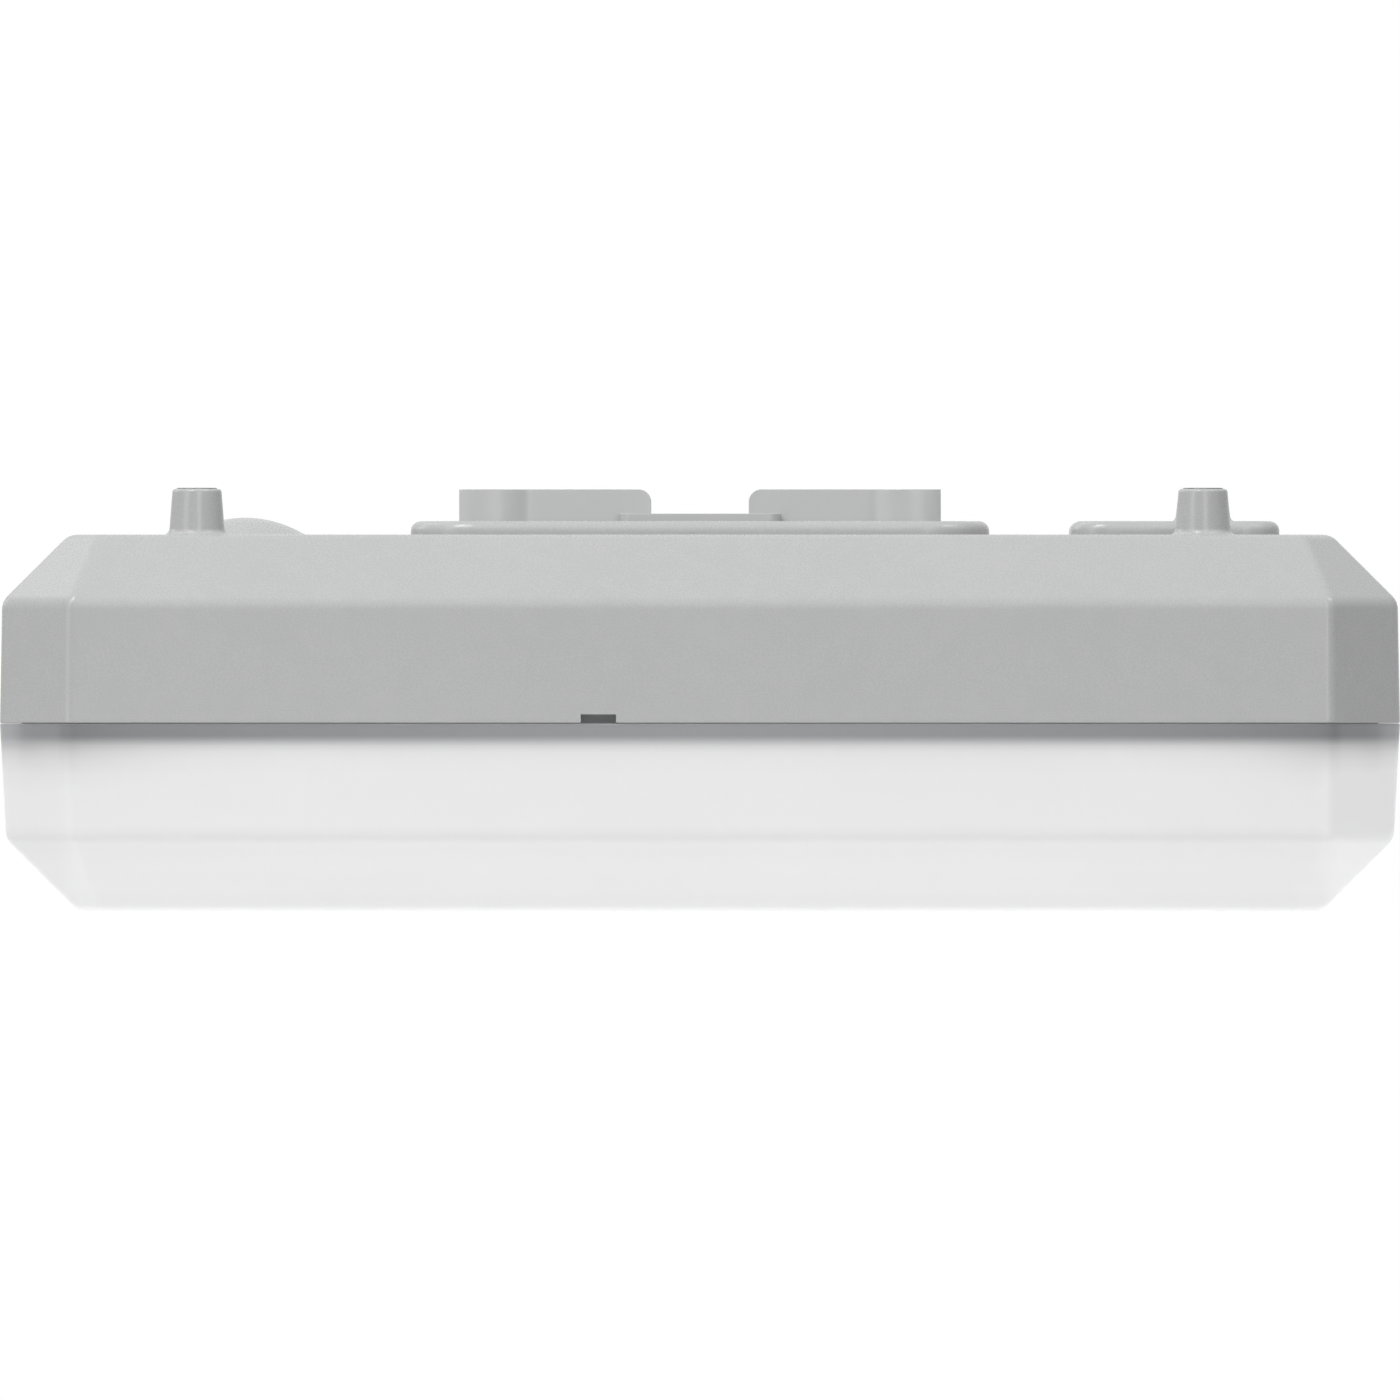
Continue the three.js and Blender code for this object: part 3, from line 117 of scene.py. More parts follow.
SKIRT_SHADOW_ALONG = (
    ((0.0, 1.0), (0.29, 0.95), (0.57, 0.89), (0.72, 0.86), (0.9, 0.84), (0.911, 0.87), (0.918, 0.95))
    + ((0.95, 1.0), (0.965, 1.08), (0.975, 1.2), (0.985, 1.32), (1.0, 1.36))
)
# Cooler grey that the skirt's painted shadow is tinted towards
SKIRT_SHADOW_TINT = (0.445, 0.46, 0.48, 1)
ACROSS_PAINTED_LIGHT = ((0.0, 0.96), (0.04, 0.96), (0.055, 1.0), (0.94, 1.0), (0.955, 1.06), (1.0, 1.06))
CORNER_PAINTED_SHADE = (
    ((0.0, 0.2), (0.074, 0.24), (0.119, 0.27), (0.193, 0.14), (0.26, 0.06), (0.35, 0.01), (0.6, 0.0), (1.0, 0.0))
)
CORNER_SHADE_ALONG = (
    ((0.6, 0.0), (0.72, 0.15), (0.785, 0.3), (0.826, 0.48), (0.856, 0.65), (0.882, 0.8), (0.9, 1.0), (0.91, 0.95))
    + ((0.918, 0.8), (0.933, 0.8), (0.954, 0.95), (0.967, 0.95), (0.977, 0.75), (0.99, 0.65), (1.0, 0.65))
)
SCATTER = 2.5 * MM  # how far light travels inside the frosted cover
COVER_PAINTED_GLOW = 0.85  # painted glow of the cover, which is no lamp, as a share of its colour


# ---- Sizes and colours ----


def amount(name, description, default, kind=FloatProperty, **limits):
    return kind(name=name, description=description, default=default, **limits)


def length(name, description, default):
    return amount(name, description, default, unit="LENGTH", precision=5)


def colour(name, description, default):
    return amount(name, description, default, FloatVectorProperty, subtype="COLOR", min=0, max=1)


class CasingSizes(bpy.types.PropertyGroup):
    corner_cut: length("Corner cut", "Length cut off each side at an upright corner", 0.019)
    corner_radius: length("Corner radius", "Round of the upright corner edges", 0.004)
    bend_radius: length("Bend radius", "Round between the walls, the slopes and the roof", 0.0055)
    housing_slope: length("Housing slope", "Height of the bevel round the roof", 0.0186)
    housing_draft: length("Housing draft", "How far the housing's walls lean in", 0.0006)
    housing_wall: length("Housing wall", "Thickness of the housing's wall", 0.0025)
    cover_slope: length("Cover slope", "Height of the bevel under the light cover", 0.0203)
    cover_draft: length("Cover draft", "How far the light cover's walls lean in", 0.0017)
    cover_wall: length("Cover wall", "Thickness of the light cover's wall", 0.0022)
    lip_radius: length("Lip radius", "Round of the thin edges at the parting line", 0.00035)
    notch_length: length("Notch length", "Length of the pry notch", 0.0098)
    notch_height: length("Notch height", "Height of the pry notch", 0.0024)
    notch_x: length("Notch place", "Middle of the pry notch along the casing", -0.0283)


class RoofSizes(bpy.types.PropertyGroup):
    post_height: length("Post height", "Height of the posts over the roof", 0.0128)
    post_top_radius: length("Post top radius", "Radius of a post at its top", 0.0068)
    post_base_radius: length("Post base radius", "Radius of a post at its foot", 0.0078)
    post_edge: length("Post edge", "Round of a post's upper edge", 0.001)
    post_flare: length("Post flare", "Hollow round at a post's foot", 0.002)
    plinth_height: length("Plinth height", "Height of the raised pads over the roof", 0.0039)
    plinth_edge: length("Plinth edge", "Round of a pad's upper edge", 0.0028)
    saddle_length: length("Saddle length", "Length of the middle pad", 0.1617)
    saddle_width: length("Saddle width", "Width of the middle pad", 0.06)
    saddle_corner: length("Saddle corner", "Corner round of the middle pad", 0.0177)
    pad_length: length("End pad length", "Length of the end pad", 0.0583)
    pad_width: length("End pad width", "Width of the end pad", 0.103)
    pad_corner: length("End pad corner", "Corner round of the end pad", 0.01)
    pad_inset: length("End pad inset", "From the casing's end to the end pad's middle", 0.06225)
    pad_y: length("End pad offset", "From the middle plane to the end pad's middle", 0.0215)
    collar_size: length("Collar size", "Side of the square collar", 0.045)
    collar_height: length("Collar height", "Height of the collar over the middle pad", 0.0021)
    collar_bore: length("Collar bore", "Radius of the shaft's hole", 0.012)
    wall_gap: length("Rail wall gap", "From the middle planes to the rail walls", 0.01365)
    wall_length: length("Rail wall length", "Length of a rail wall", 0.05365)
    wall_thickness: length("Rail wall thickness", "Thickness of a rail wall", 0.0034)
    wall_draft: amount("Rail wall draft", "Lean of a wall's outer face", 0.05)
    wall_corner: length("Rail wall corner", "Round of a wall's upper inner corner", 0.0035)
    boss_radius: length("Boss radius", "Radius of the bulge round a pilot hole", 0.0167)
    boss_stand: length("Boss stand-out", "How far the bulge stands out of the wall", 0.00345)
    pilot_radius: length("Pilot radius", "Radius of a pilot hole", 0.0015)
    dome_radius: length("Dome radius", "Radius of the dome over the transformer bolt", 0.017)
    dome_height: length("Dome height", "Height of that dome", 0.005)


class Finishes(bpy.types.PropertyGroup):
    casing: colour("Casing", "Grey of the housing", (0.42, 0.422, 0.425))
    cover: colour("Light cover", "White of the frosted cover", (0.46, 0.46, 0.463))
    tray: colour("Tray", "Grey of the tray", (0.42, 0.425, 0.43))
    white: colour("White", "White mouldings", (0.86, 0.86, 0.845))
    dark: colour("Dark plastic", "Black mouldings", (0.022, 0.023, 0.026))
    rubber: colour("Rubber", "Black rubber", (0.012, 0.012, 0.013))
    steel: colour("Steel", "Zinc-plated steel", (0.52, 0.53, 0.55))
    insert: colour("Inserts", "Blackened steel of the threaded inserts", (0.2, 0.2, 0.205))
    zinc: colour("Die casting", "Cast zinc alloy", (0.42, 0.43, 0.45))
    bronze: colour("Bronze", "Sintered bronze", (0.46, 0.25, 0.09))
    brass: colour("Brass", "Turned brass", (0.62, 0.42, 0.14))
    copper: colour("Copper", "Enamelled winding wire", (0.55, 0.18, 0.06))
    nylon: colour("Nylon", "Natural nylon", (0.78, 0.72, 0.58))
    mask: colour("Solder mask", "Green of the circuit boards", (0.012, 0.12, 0.045))
    tape: colour("Tape", "Yellow tape round the coil", (0.68, 0.42, 0.04))
    relay: colour("Relay", "Blue relay cases", (0.03, 0.1, 0.32))
    phosphor: colour("Phosphor", "Yellow of an unlit lamp chip", (0.75, 0.55, 0.08))
    wear: amount("Edge wear", "How much rubbed edges lighten", 0.5, subtype="FACTOR", min=0, max=1)


class StageSettings(bpy.types.PropertyGroup):
    lens: amount("Lens", "Focal length of the camera", 1600, unit="CAMERA")
    sensor: amount("Sensor", "Width of the camera's sensor", 36, unit="CAMERA")
    lower: length("Camera drop", "How far the camera stands below mid height", 0.00012)
    key: amount("Key light", "Level that the two main lamps give together", 1.0)
    ambient: amount("Ambient", "Level of the light from all round", 0.45)
    mirrored: amount("Mirrored", "Level of the surroundings in reflections", 0.5)
    backdrop: amount("Backdrop", "Level the backdrop adds to reflections", 0.4)
    boxes: amount("Light boxes", "Level of the light boxes in reflections", 4.5)
    floor_drop: length("Floor drop", "Room under the casing, in which the light cover comes down", 0.152)
    floor_radius: length("Floor radius", "Radius of the floor", 0.75)
    floor_white: amount("Floor white", "Paleness of the floor", 0.5, subtype="FACTOR")
    floor_lift: amount("Floor lift", "Light added to the floor that the camera sees", 0.6)
    floor_glow: amount("Floor glow", "Light that the floor gives under the object", 0.88)


# ---- Shapes as grids of points ----


def mm(*sizes):
    """Sizes given in millimetres."""
    return [size * MM for size in sizes]


def filleted(corners, radii, steps=8, support=0.4 * MM):
    """A polyline with each inner corner rounded by an arc that touches both straights.

    The arc's centre lies on the corner's bisector, radius / sin(half angle) away, and its points swing from one
    touching point to the other. A point on each straight, one support length off, keeps the flats flat.
    """
    corners = np.array(corners, float)
    line = [corners[:1]]
    share = np.linspace(0, 1, steps + 1)[:, None]
    for before, corner, after, radius in zip(corners, corners[1:], corners[2:], radii):
        if radius <= 0:
            line.append(corner[None])
            continue
        back = (before - corner) / np.linalg.norm(before - corner)
        onward = (after - corner) / np.linalg.norm(after - corner)
        half = math.acos(np.clip(back @ onward, -1, 1)) / 2
        sweep = math.pi - 2 * half
        reach = radius / math.tan(half)
        middle = back + onward
        centre = corner + middle / np.linalg.norm(middle) * radius / math.sin(half)
        first = corner + back * reach - centre
        last = corner + onward * reach - centre
        arc = centre + (np.sin((1 - share) * sweep) * first + np.sin(share * sweep) * last) / math.sin(sweep)
        near = corner + np.stack([back, onward]) * (reach + support)
        line += [near[:1], arc, near[1:]] if support else [arc]
    return np.concatenate(line + [corners[-1:]])


def stacked(sides, rows, steps=6, support=0.4 * MM):
    """Rings of a convex outline, one for each row.

    sides holds each side's (angle in degrees, distance from the axis), and a row holds (inset, rounding, height):
    every side moves in by the inset, and each corner is an arc of that rounding about the point where the two
    sides, moved in by inset and rounding, cross. A support point stands on the side before and after each arc.
    """
    angle, distance = np.radians(sides[:, 0]), sides[:, 1]
    following = np.append(angle[1:], angle[0] + 2 * math.pi)
    inset, rounding, height = np.asarray(rows, float).T
    near = distance - (inset + rounding)[:, None]
    far = np.roll(near, -1, axis=1)
    across = np.sin(following - angle)
    x = (near * np.sin(following) - far * np.sin(angle)) / across
    y = (far * np.cos(angle) - near * np.cos(following)) / across
    share, push = np.linspace(0, 1, steps + 1), np.zeros(steps + 1)
    if support:
        share = np.concatenate([[0], share, [1]])
        push = np.concatenate([[-support], push, [support]])
    theta = angle[:, None] + (following - angle)[:, None] * share
    radius = rounding[:, None, None]
    ring_x = x[..., None] + radius * np.cos(theta) - push * np.sin(theta)
    ring_y = y[..., None] + radius * np.sin(theta) + push * np.cos(theta)
    ring_z = np.broadcast_to(height[:, None, None], ring_x.shape)
    return np.stack([ring_x, ring_y, ring_z], -1).reshape(len(height), -1, 3)


def oblong(length, width):
    """The four sides of an oblong for stacked()."""
    return np.array([(0, length / 2), (90, width / 2), (180, length / 2), (270, width / 2)])


def hexagon(flats):
    """The six sides of a hexagon for stacked(), two of them facing along X."""
    return np.array([(60 * turn, flats / 2) for turn in range(6)])


def revolved(profile, sides=64):
    """A profile of (radius, height) turned about Z: radius cos, radius sin, height."""
    theta = np.linspace(0, 2 * math.pi, sides, endpoint=False)
    radius, height = np.asarray(profile, float).T[:, :, None]
    flat = np.ones_like(theta)
    return np.stack([radius * np.cos(theta), radius * np.sin(theta), height * flat], -1)


def capped(rings):
    """Rings with a pole at each end: the end ring drawn together at its middle."""
    first = np.broadcast_to(rings[:1].mean(1, keepdims=True), rings[:1].shape)
    last = np.broadcast_to(rings[-1:].mean(1, keepdims=True), rings[-1:].shape)
    return np.concatenate([first, rings, last])


def looped(rings):
    """Rings whose last one joins the first again."""
    return np.concatenate([rings, rings[:1]])


def along_y(rings):
    """The same rings with their height laid along Y and their Y stood upright."""
    return rings[..., [0, 2, 1]]


def tube_block(sides, corner, profile, inset_to_round=1.0, steps=6, support=0.4 * MM):
    """stacked() with poles for a profile of (inset, height).

    The corners' rounding shrinks as the inset grows, to no less than 0.3 mm.
    """
    inset, height = np.asarray(profile, float).T
    rounding = np.maximum(corner - inset_to_round * inset, 0.3 * MM)
    return capped(stacked(sides, np.column_stack([inset, rounding, height]), steps, support))


def socketed(flats, outer, socket, steps):
    """A turned profile of (radius, height) that runs on into the (inset, rounding, height) rows of a hexagon socket.

    On the turned part inset and rounding make up half the width across flats, which makes each ring a circle.
    """
    radius, height = outer.T
    rounds = np.column_stack([flats / 2 - radius, radius, height])
    return capped(stacked(hexagon(flats), np.concatenate([rounds, socket]), steps, 0))


def soft_maximum(low, high):
    """The larger of two heights, low + BLEND ln(1 + exp((high - low) / BLEND)), with no crease between them."""
    return low + BLEND * np.logaddexp(0, (high - low) / BLEND)


def fall(radius, distance):
    """How far a quarter round lies under its level part, at a distance from its foot."""
    return radius - np.sqrt(np.clip(radius**2 - np.clip(radius - distance, 0, None) ** 2, 0, None))


# ---- Pieces ----


def mesh_of(name, grids):
    """One mesh from closed grids: quads between neighbouring rows, turned so that each grid's volume is positive."""
    points, quads, offset = [], [], 0
    for grid in grids:
        rows, columns = grid.shape[:2]
        index = np.arange(rows * columns).reshape(rows, columns)
        onward = np.roll(index, -1, axis=1)
        faces = np.stack([index[:-1], onward[:-1], onward[1:], index[1:]], -1).reshape(-1, 4)
        flat = grid.reshape(-1, 3)
        a, b, c, d = (flat[faces[:, k]] - flat.mean(0) for k in range(4))
        volume = np.einsum("ij,ij->", a, np.cross(b, c)) + np.einsum("ij,ij->", a, np.cross(c, d))
        points.append(flat)
        quads.append((faces if volume > 0 else faces[:, ::-1]) + offset)
        offset += len(flat)
    points, quads = np.concatenate(points), np.concatenate(quads)
    mesh = bpy.data.meshes.new(name)
    mesh.vertices.add(len(points))
    mesh.vertices.foreach_set("co", points.ravel())
    mesh.loops.add(quads.size)
    mesh.loops.foreach_set("vertex_index", quads.ravel())
    mesh.polygons.add(len(quads))
    mesh.polygons.foreach_set("loop_start", np.arange(0, quads.size, 4))
    mesh.update(calc_edges=True)
    work = bmesh.new()
    work.from_mesh(mesh)
    bmesh.ops.remove_doubles(work, verts=work.verts, dist=1e-7)
    work.to_mesh(mesh)
    work.free()
    return mesh


def object_of(name, grids):
    thing = bpy.data.objects.new(name, mesh_of(name, grids))
    bpy.context.scene.collection.objects.link(thing)
    return thing


def cut(thing, grids):
    """Takes closed grids out of a piece, with the result applied to its mesh."""
    cutter = object_of("cutter", grids)
    modifier = thing.modifiers.new("cut", "BOOLEAN")
    modifier.operation = "DIFFERENCE"
    modifier.solver = "EXACT"
    modifier.object = cutter
    evaluated = thing.evaluated_get(bpy.context.evaluated_depsgraph_get())
    mesh = bpy.data.meshes.new_from_object(evaluated)
    thing.modifiers.clear()
    thing.data = mesh
    bpy.data.objects.remove(cutter)


def mark_edges(mesh):
    """Stores in "edge" how tightly the surface bends at each vertex: 0 up to 0.5 per millimetre, 1 from 2.

    The bend across a mesh edge is the angle between its two faces over the distance between their middles.
    """
    loops, edges, faces = len(mesh.loops), len(mesh.edges), len(mesh.polygons)
    edge_of, ends = np.empty(loops, int), np.empty(2 * edges, int)
    normals, middles, sizes = np.empty(3 * faces), np.empty(3 * faces), np.empty(faces, int)
    mesh.loops.foreach_get("edge_index", edge_of)
    mesh.edges.foreach_get("vertices", ends)
    mesh.polygons.foreach_get("normal", normals)
    mesh.polygons.foreach_get("center", middles)
    mesh.polygons.foreach_get("loop_total", sizes)
    order = np.argsort(edge_of, kind="stable")
    edge_of, face_of = edge_of[order], np.repeat(np.arange(faces), sizes)[order]
    normals, middles = normals.reshape(-1, 3), middles.reshape(-1, 3)
    pair = np.flatnonzero(edge_of[1:] == edge_of[:-1])
    one, other = face_of[pair], face_of[pair + 1]
    angle = np.arccos(np.clip(np.einsum("ij,ij->i", normals[one], normals[other]), -1, 1))
    apart = np.maximum(np.linalg.norm(middles[one] - middles[other], axis=1), 0.05 * MM)
    bend = np.clip((angle / apart * MM - 0.5) / 1.5, 0, 1)
    value = np.zeros(len(mesh.vertices))
    np.maximum.at(value, ends.reshape(-1, 2)[edge_of[pair]], bend[:, None])
    mesh.attributes.new("edge", "FLOAT", "POINT").data.foreach_set("value", value)


def piece(name, grids, finish_name, slot, body, *nodes, cuts=(), sharp=32):
    """A piece of closed grids, less those in cuts, with smooth faces, marked edges and a finish.

    It rides on the CAD body and stands for the nodes.
    """
    thing = object_of(name, grids)
    if cuts:
        cut(thing, cuts)
    mesh = thing.data
    mesh.polygons.foreach_set("use_smooth", np.ones(len(mesh.polygons), bool))
    mesh.set_sharp_from_angle(angle=math.radians(sharp))
    mark_edges(mesh)
    mesh.materials.clear()
    mesh.materials.append(finish(finish_name))
    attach(thing, body)
    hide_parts(*nodes)


def box_of(node):
    """The lowest and the highest corner of a part on the frame, and its middle."""
    low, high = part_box(node)
    return low, high, np.array((low + high) / 2)


# ---- Materials ----


class Wire:
    """A shader socket that Python expressions work with: each operator on it adds its Math node."""

    def __init__(self, tree, socket=None):
        self.tree = tree
        self.socket = socket

    def node(self, kind, settings=(), values=(), output=0):
        """A node of any kind: its settings first, then the value or link of each socket."""
        made = self.tree.nodes.new(kind)
        for name, value in dict(settings).items():
            if name == "stops":
                ramp = made.color_ramp.elements
                ramp[0].position, ramp[0].color = value[0]
                ramp[1].position, ramp[1].color = value[-1]
                for place, grey in value[1:-1]:
                    ramp.new(place).color = grey
            else:
                setattr(made, name, value)
        for name, value in dict(values).items():
            if isinstance(value, Wire):
                self.tree.links.new(value.socket, made.inputs[name])
            else:
                made.inputs[name].default_value = value
        return Wire(self.tree, made.outputs[output] if made.outputs else None)

    def math(self, operation, first, second=0.0, clamp=False):
        return self.node("ShaderNodeMath", {"operation": operation, "use_clamp": clamp}, {0: first, 1: second})

    def __add__(self, other):
        return self.math("ADD", self, other)

    def __sub__(self, other):
        return self.math("SUBTRACT", self, other)

    def __rsub__(self, other):
        return self.math("SUBTRACT", other, self)

    def __mul__(self, other):
        return self.math("MULTIPLY", self, other)

    def __truediv__(self, other):
        return self.math("DIVIDE", self, other)

    def __lt__(self, other):
        return self.math("LESS_THAN", self, other)

    def __gt__(self, other):
        return self.math("GREATER_THAN", self, other)

    def __abs__(self):
        return self.math("ABSOLUTE", self)

    __radd__ = __add__
    __rmul__ = __mul__

    def between(self, low, high):
        """0 at low, 1 at high, clamped."""
        return self.math("MULTIPLY", self - low, 1 / (high - low), clamp=True)

    def fraction(self):
        return self.math("FRACT", self)

    def larger(self, other):
        return self.math("MAXIMUM", self, other)

    def beside(self, other):
        """The length of the line that goes this far one way and the other's far square to it."""
        return self.math("SQRT", self * self + other * other)

    def parts(self):
        """The X, Y and Z of a vector."""
        split = self.tree.nodes.new("ShaderNodeSeparateXYZ")
        self.tree.links.new(self.socket, split.inputs[0])
        return [Wire(self.tree, socket) for socket in split.outputs]

    def blend(self, factor, first, second):
        """A colour between two, by the factor."""
        return self.node("ShaderNodeMix", {"data_type": "RGBA"}, {0: factor, 6: first, 7: second}, 2)

    def ramp(self, factor, levels):
        """A grey that follows (place, level) pairs."""
        stops = [(place, (level, level, level, 1)) for place, level in levels]
        return self.node("ShaderNodeValToRGB", {"stops": stops}, {0: factor})

    def bump(self, height, depth, strength=1.0):
        return self.node("ShaderNodeBump", (), {"Height": height, "Distance": depth, "Strength": strength})


def finish(name):
    """The finished material of that name, apart from the plain one that the frame's slots carry."""
    return bpy.data.materials[f"{name}_finish"]


def shade(rgb, factor):
    """A colour made lighter or darker, opaque."""
    return (*(min(1.0, channel * factor) for channel in rgb[:3]), 1.0)


class Recipe(Wire):
    """A new material with its coordinates, marked edges and one Principled shader to feed."""

    def __init__(self, name):
        self.material = bpy.data.materials.new(f"{name}_finish")
        self.material.use_nodes = True
        super().__init__(self.material.node_tree)
        self.tree.nodes.clear()
        self.place = self.node("ShaderNodeTexCoord", output="Object")
        self.edge = self.node("ShaderNodeAttribute", {"attribute_name": "edge"}, output="Fac")

    def stretched(self, scale):
        """The place with each axis scaled, for grain that runs one way."""
        return self.node("ShaderNodeVectorMath", {"operation": "MULTIPLY"}, {0: self.place, 1: scale})

    def noise(self, scale, detail=3.0, place=None):
        """Noise of so many waves per metre, or per step of a place of its own."""
        values = {"Vector": place or self.place, "Scale": scale, "Detail": detail, "Roughness": 0.55}
        return self.node("ShaderNodeTexNoise", (), values)

    def cells(self, scale, feature="F1", place=None):
        return self.node("ShaderNodeTexVoronoi", {"feature": feature}, {"Vector": place or self.place, "Scale": scale})

    def surface(self, **values):
        """Ends the recipe: sockets by name, with underscores for spaces."""
        named = {name.replace("_", " "): value for name, value in values.items()}
        shader = self.node("ShaderNodeBsdfPrincipled", (), named)
        self.node("ShaderNodeOutputMaterial", (), {"Surface": shader})
        return self.material


def moulded(name, rgb, roughness=0.42, grain=0.5, depth=0.02, wear=0.5, mottle=0.015, dust=0.012):
    """Moulded plastic: spark-eroded grain, faint flow mottling, dust in patches, edges rubbed lighter and smoother."""
    recipe = Recipe(name)
    fine = recipe.noise(1000 / grain, 2.0)
    broad = recipe.noise(22.0, 3.0)
    patches = recipe.noise(140.0, 4.0).between(0.35, 0.85)
    base = recipe.blend(broad.between(0.3, 0.7), shade(rgb, 1 - mottle), shade(rgb, 1 + mottle))
    speckled = recipe.blend(fine.between(0.35, 0.65) * 0.5, base, shade(rgb, 1 - 2 * mottle))
    dusty = recipe.blend(patches * dust, speckled, (0.7, 0.7, 0.69, 1.0))
    rubbed = recipe.edge * recipe.noise(260.0, 4.0).between(0.35, 0.7) * (0.35 * wear)
    worn = recipe.blend(rubbed, dusty, shade(rgb, 1.35))
    rough = roughness + (broad - 0.5) * 0.02 + (fine - 0.5) * 0.06 + patches * 0.01 - rubbed * 0.3
    sink = recipe.noise(9.0, 1.0)
    height = fine * depth + sink * 6.0 * depth
    return recipe.surface(Base_Color=worn, Roughness=rough, Normal=recipe.bump(height, MM, 0.6), IOR=1.5)


def metal(name, rgb, roughness=0.32, grain=(60.0, 60.0, 1400.0), depth=0.01, pits=0.0, tarnish=0.12):
    """Metal: fine tool lines along the long axis of the grain, tarnish in clouds, pits where it is cast or sintered."""
    recipe = Recipe(name)
    lines = recipe.noise(1.0, 3.0, recipe.stretched(grain))
    clouds = recipe.noise(70.0, 4.0)
    specks = recipe.cells(1500.0).between(0.0, 0.35)
    base = recipe.blend(clouds.between(0.35, 0.7) * 0.8, shade(rgb, 1 + tarnish), shade(rgb, 1 - tarnish))
    pitted = recipe.blend((1 - specks) * pits, base, shade(rgb, 0.45))
    bright = recipe.blend(recipe.edge * clouds * 0.5, pitted, shade(rgb, 1.3))
    rough = roughness + (lines - 0.5) * 0.16 + (clouds - 0.5) * 0.18 - recipe.edge * 0.06
    height = lines * depth + specks * pits * 0.06
    return recipe.surface(Base_Color=bright, Metallic=1.0, Roughness=rough, Normal=recipe.bump(height, MM, 0.8))


def frosted(name, rgb, cover):
    """Frosted diffuser: light scatters in it under a fine etched grain with faint flow lines from the gate.

    Painted shade darkens its colour where the tray's skirt would shade it from close behind the rim, in the bend
    above the lower bevel, and beside the upright corner edges, the more so near the rim. The skirt's painted shadow
    is tinted cooler and turns to painted light past the tray's ends, the left end is painted darker and the right
    end lighter, and the cover shines with a painted glow of that colour though no lamp is in it.
    """
    recipe = Recipe(name)
    x, _, z = recipe.place.parts()
    fine = recipe.noise(2600.0, 2.0)
    flow = recipe.noise(1.0, 2.0, recipe.stretched((14.0, 14.0, 40.0)))
    tint = recipe.blend(flow.between(0.3, 0.7), shade(rgb, 0.99), shade(rgb, 1.01))
    cloudy = recipe.blend(fine.between(0.3, 0.7) * 0.4, tint, shade(rgb, 0.98))
    low, high = cover
    along, depth = abs(x) / high.x, (high.z - z) / COVER_FADE
    # Painted shadow of the tray's skirt under the rim; past the tray's ends it turns to painted light
    skirt = recipe.ramp(depth, SKIRT_SHADOW_DEPTH)
    skirt_shadow = 1 + skirt * (recipe.ramp(along, SKIRT_SHADOW_ALONG) - 1)
    # Painted shade beside the upright corner edges, the more so near the rim
    corner_shade = 1 - recipe.ramp(along, CORNER_SHADE_ALONG) * recipe.ramp(depth, CORNER_PAINTED_SHADE)
    # Painted light and shade: left end darker, right end lighter, the other way round in the skirt's shadow
    across = (recipe.ramp(x / (high.x - low.x) + 0.5, ACROSS_PAINTED_LIGHT) - 1) * (1 - 2 * skirt) + 1
    # All the painted shade and light, with the painted shade of the rim band and of the bend above the bevel
    share = recipe.ramp(depth, COVER_PAINTED_SHADE) * skirt_shadow * corner_shade * across
    black = (0, 0, 0, 1)
    shaded = recipe.blend(share, black, cloudy)
    # The skirt's painted shadow, tinted cooler
    shade_painted_colour = recipe.blend(skirt * 0.5, shaded, recipe.blend(share, black, SKIRT_SHADOW_TINT))
    return recipe.surface(
        Base_Color=shade_painted_colour,
        Roughness=0.5 + (flow - 0.5) * 0.06 + (fine - 0.5) * 0.06,
        Subsurface_Weight=1.0,
        Subsurface_Radius=(1, 1, 1),
        Subsurface_Scale=SCATTER,
        IOR=1.49,
        # Painted glow: the cover shines with its own painted colour though no lamp is in it
        Emission_Color=shade_painted_colour,
        Emission_Strength=COVER_PAINTED_GLOW,
        Normal=recipe.bump(fine * 0.008 + flow * 0.05, MM, 0.5),
    )


def solder_mask(name, rgb):
    """Circuit board: green lacquer over copper tracks, with bare tinned pads on a grid and a fine weave under it."""
    recipe = Recipe(name)
    x, y, _ = recipe.place.parts()
    pitch = 5.08 * MM
    u, v = ((axis / pitch).fraction() - 0.5 for axis in (x, y))
    ring = u.beside(v)
    pad = (ring < 0.2) * (ring > 0.08)
    hole = ring < 0.08
    tracks = recipe.cells(1.0, "DISTANCE_TO_EDGE", recipe.stretched((300.0, 90.0, 300.0))).between(0.0, 0.12)
    weave = recipe.noise(1800.0, 1.0)
    lacquer = recipe.blend(tracks, shade(rgb, 1.7), shade(rgb, 1.0))
    tinned = recipe.blend(pad, lacquer, (0.6, 0.6, 0.58, 1.0))
    drilled = recipe.blend(hole, tinned, (0.01, 0.01, 0.01, 1.0))
    height = (1 - tracks) * 0.03 + pad * 0.06 + weave * 0.01
    return recipe.surface(
        Base_Color=drilled, Roughness=0.32 + weave * 0.15, Metallic=pad * 0.9, Normal=recipe.bump(height, MM, 0.8)
    )


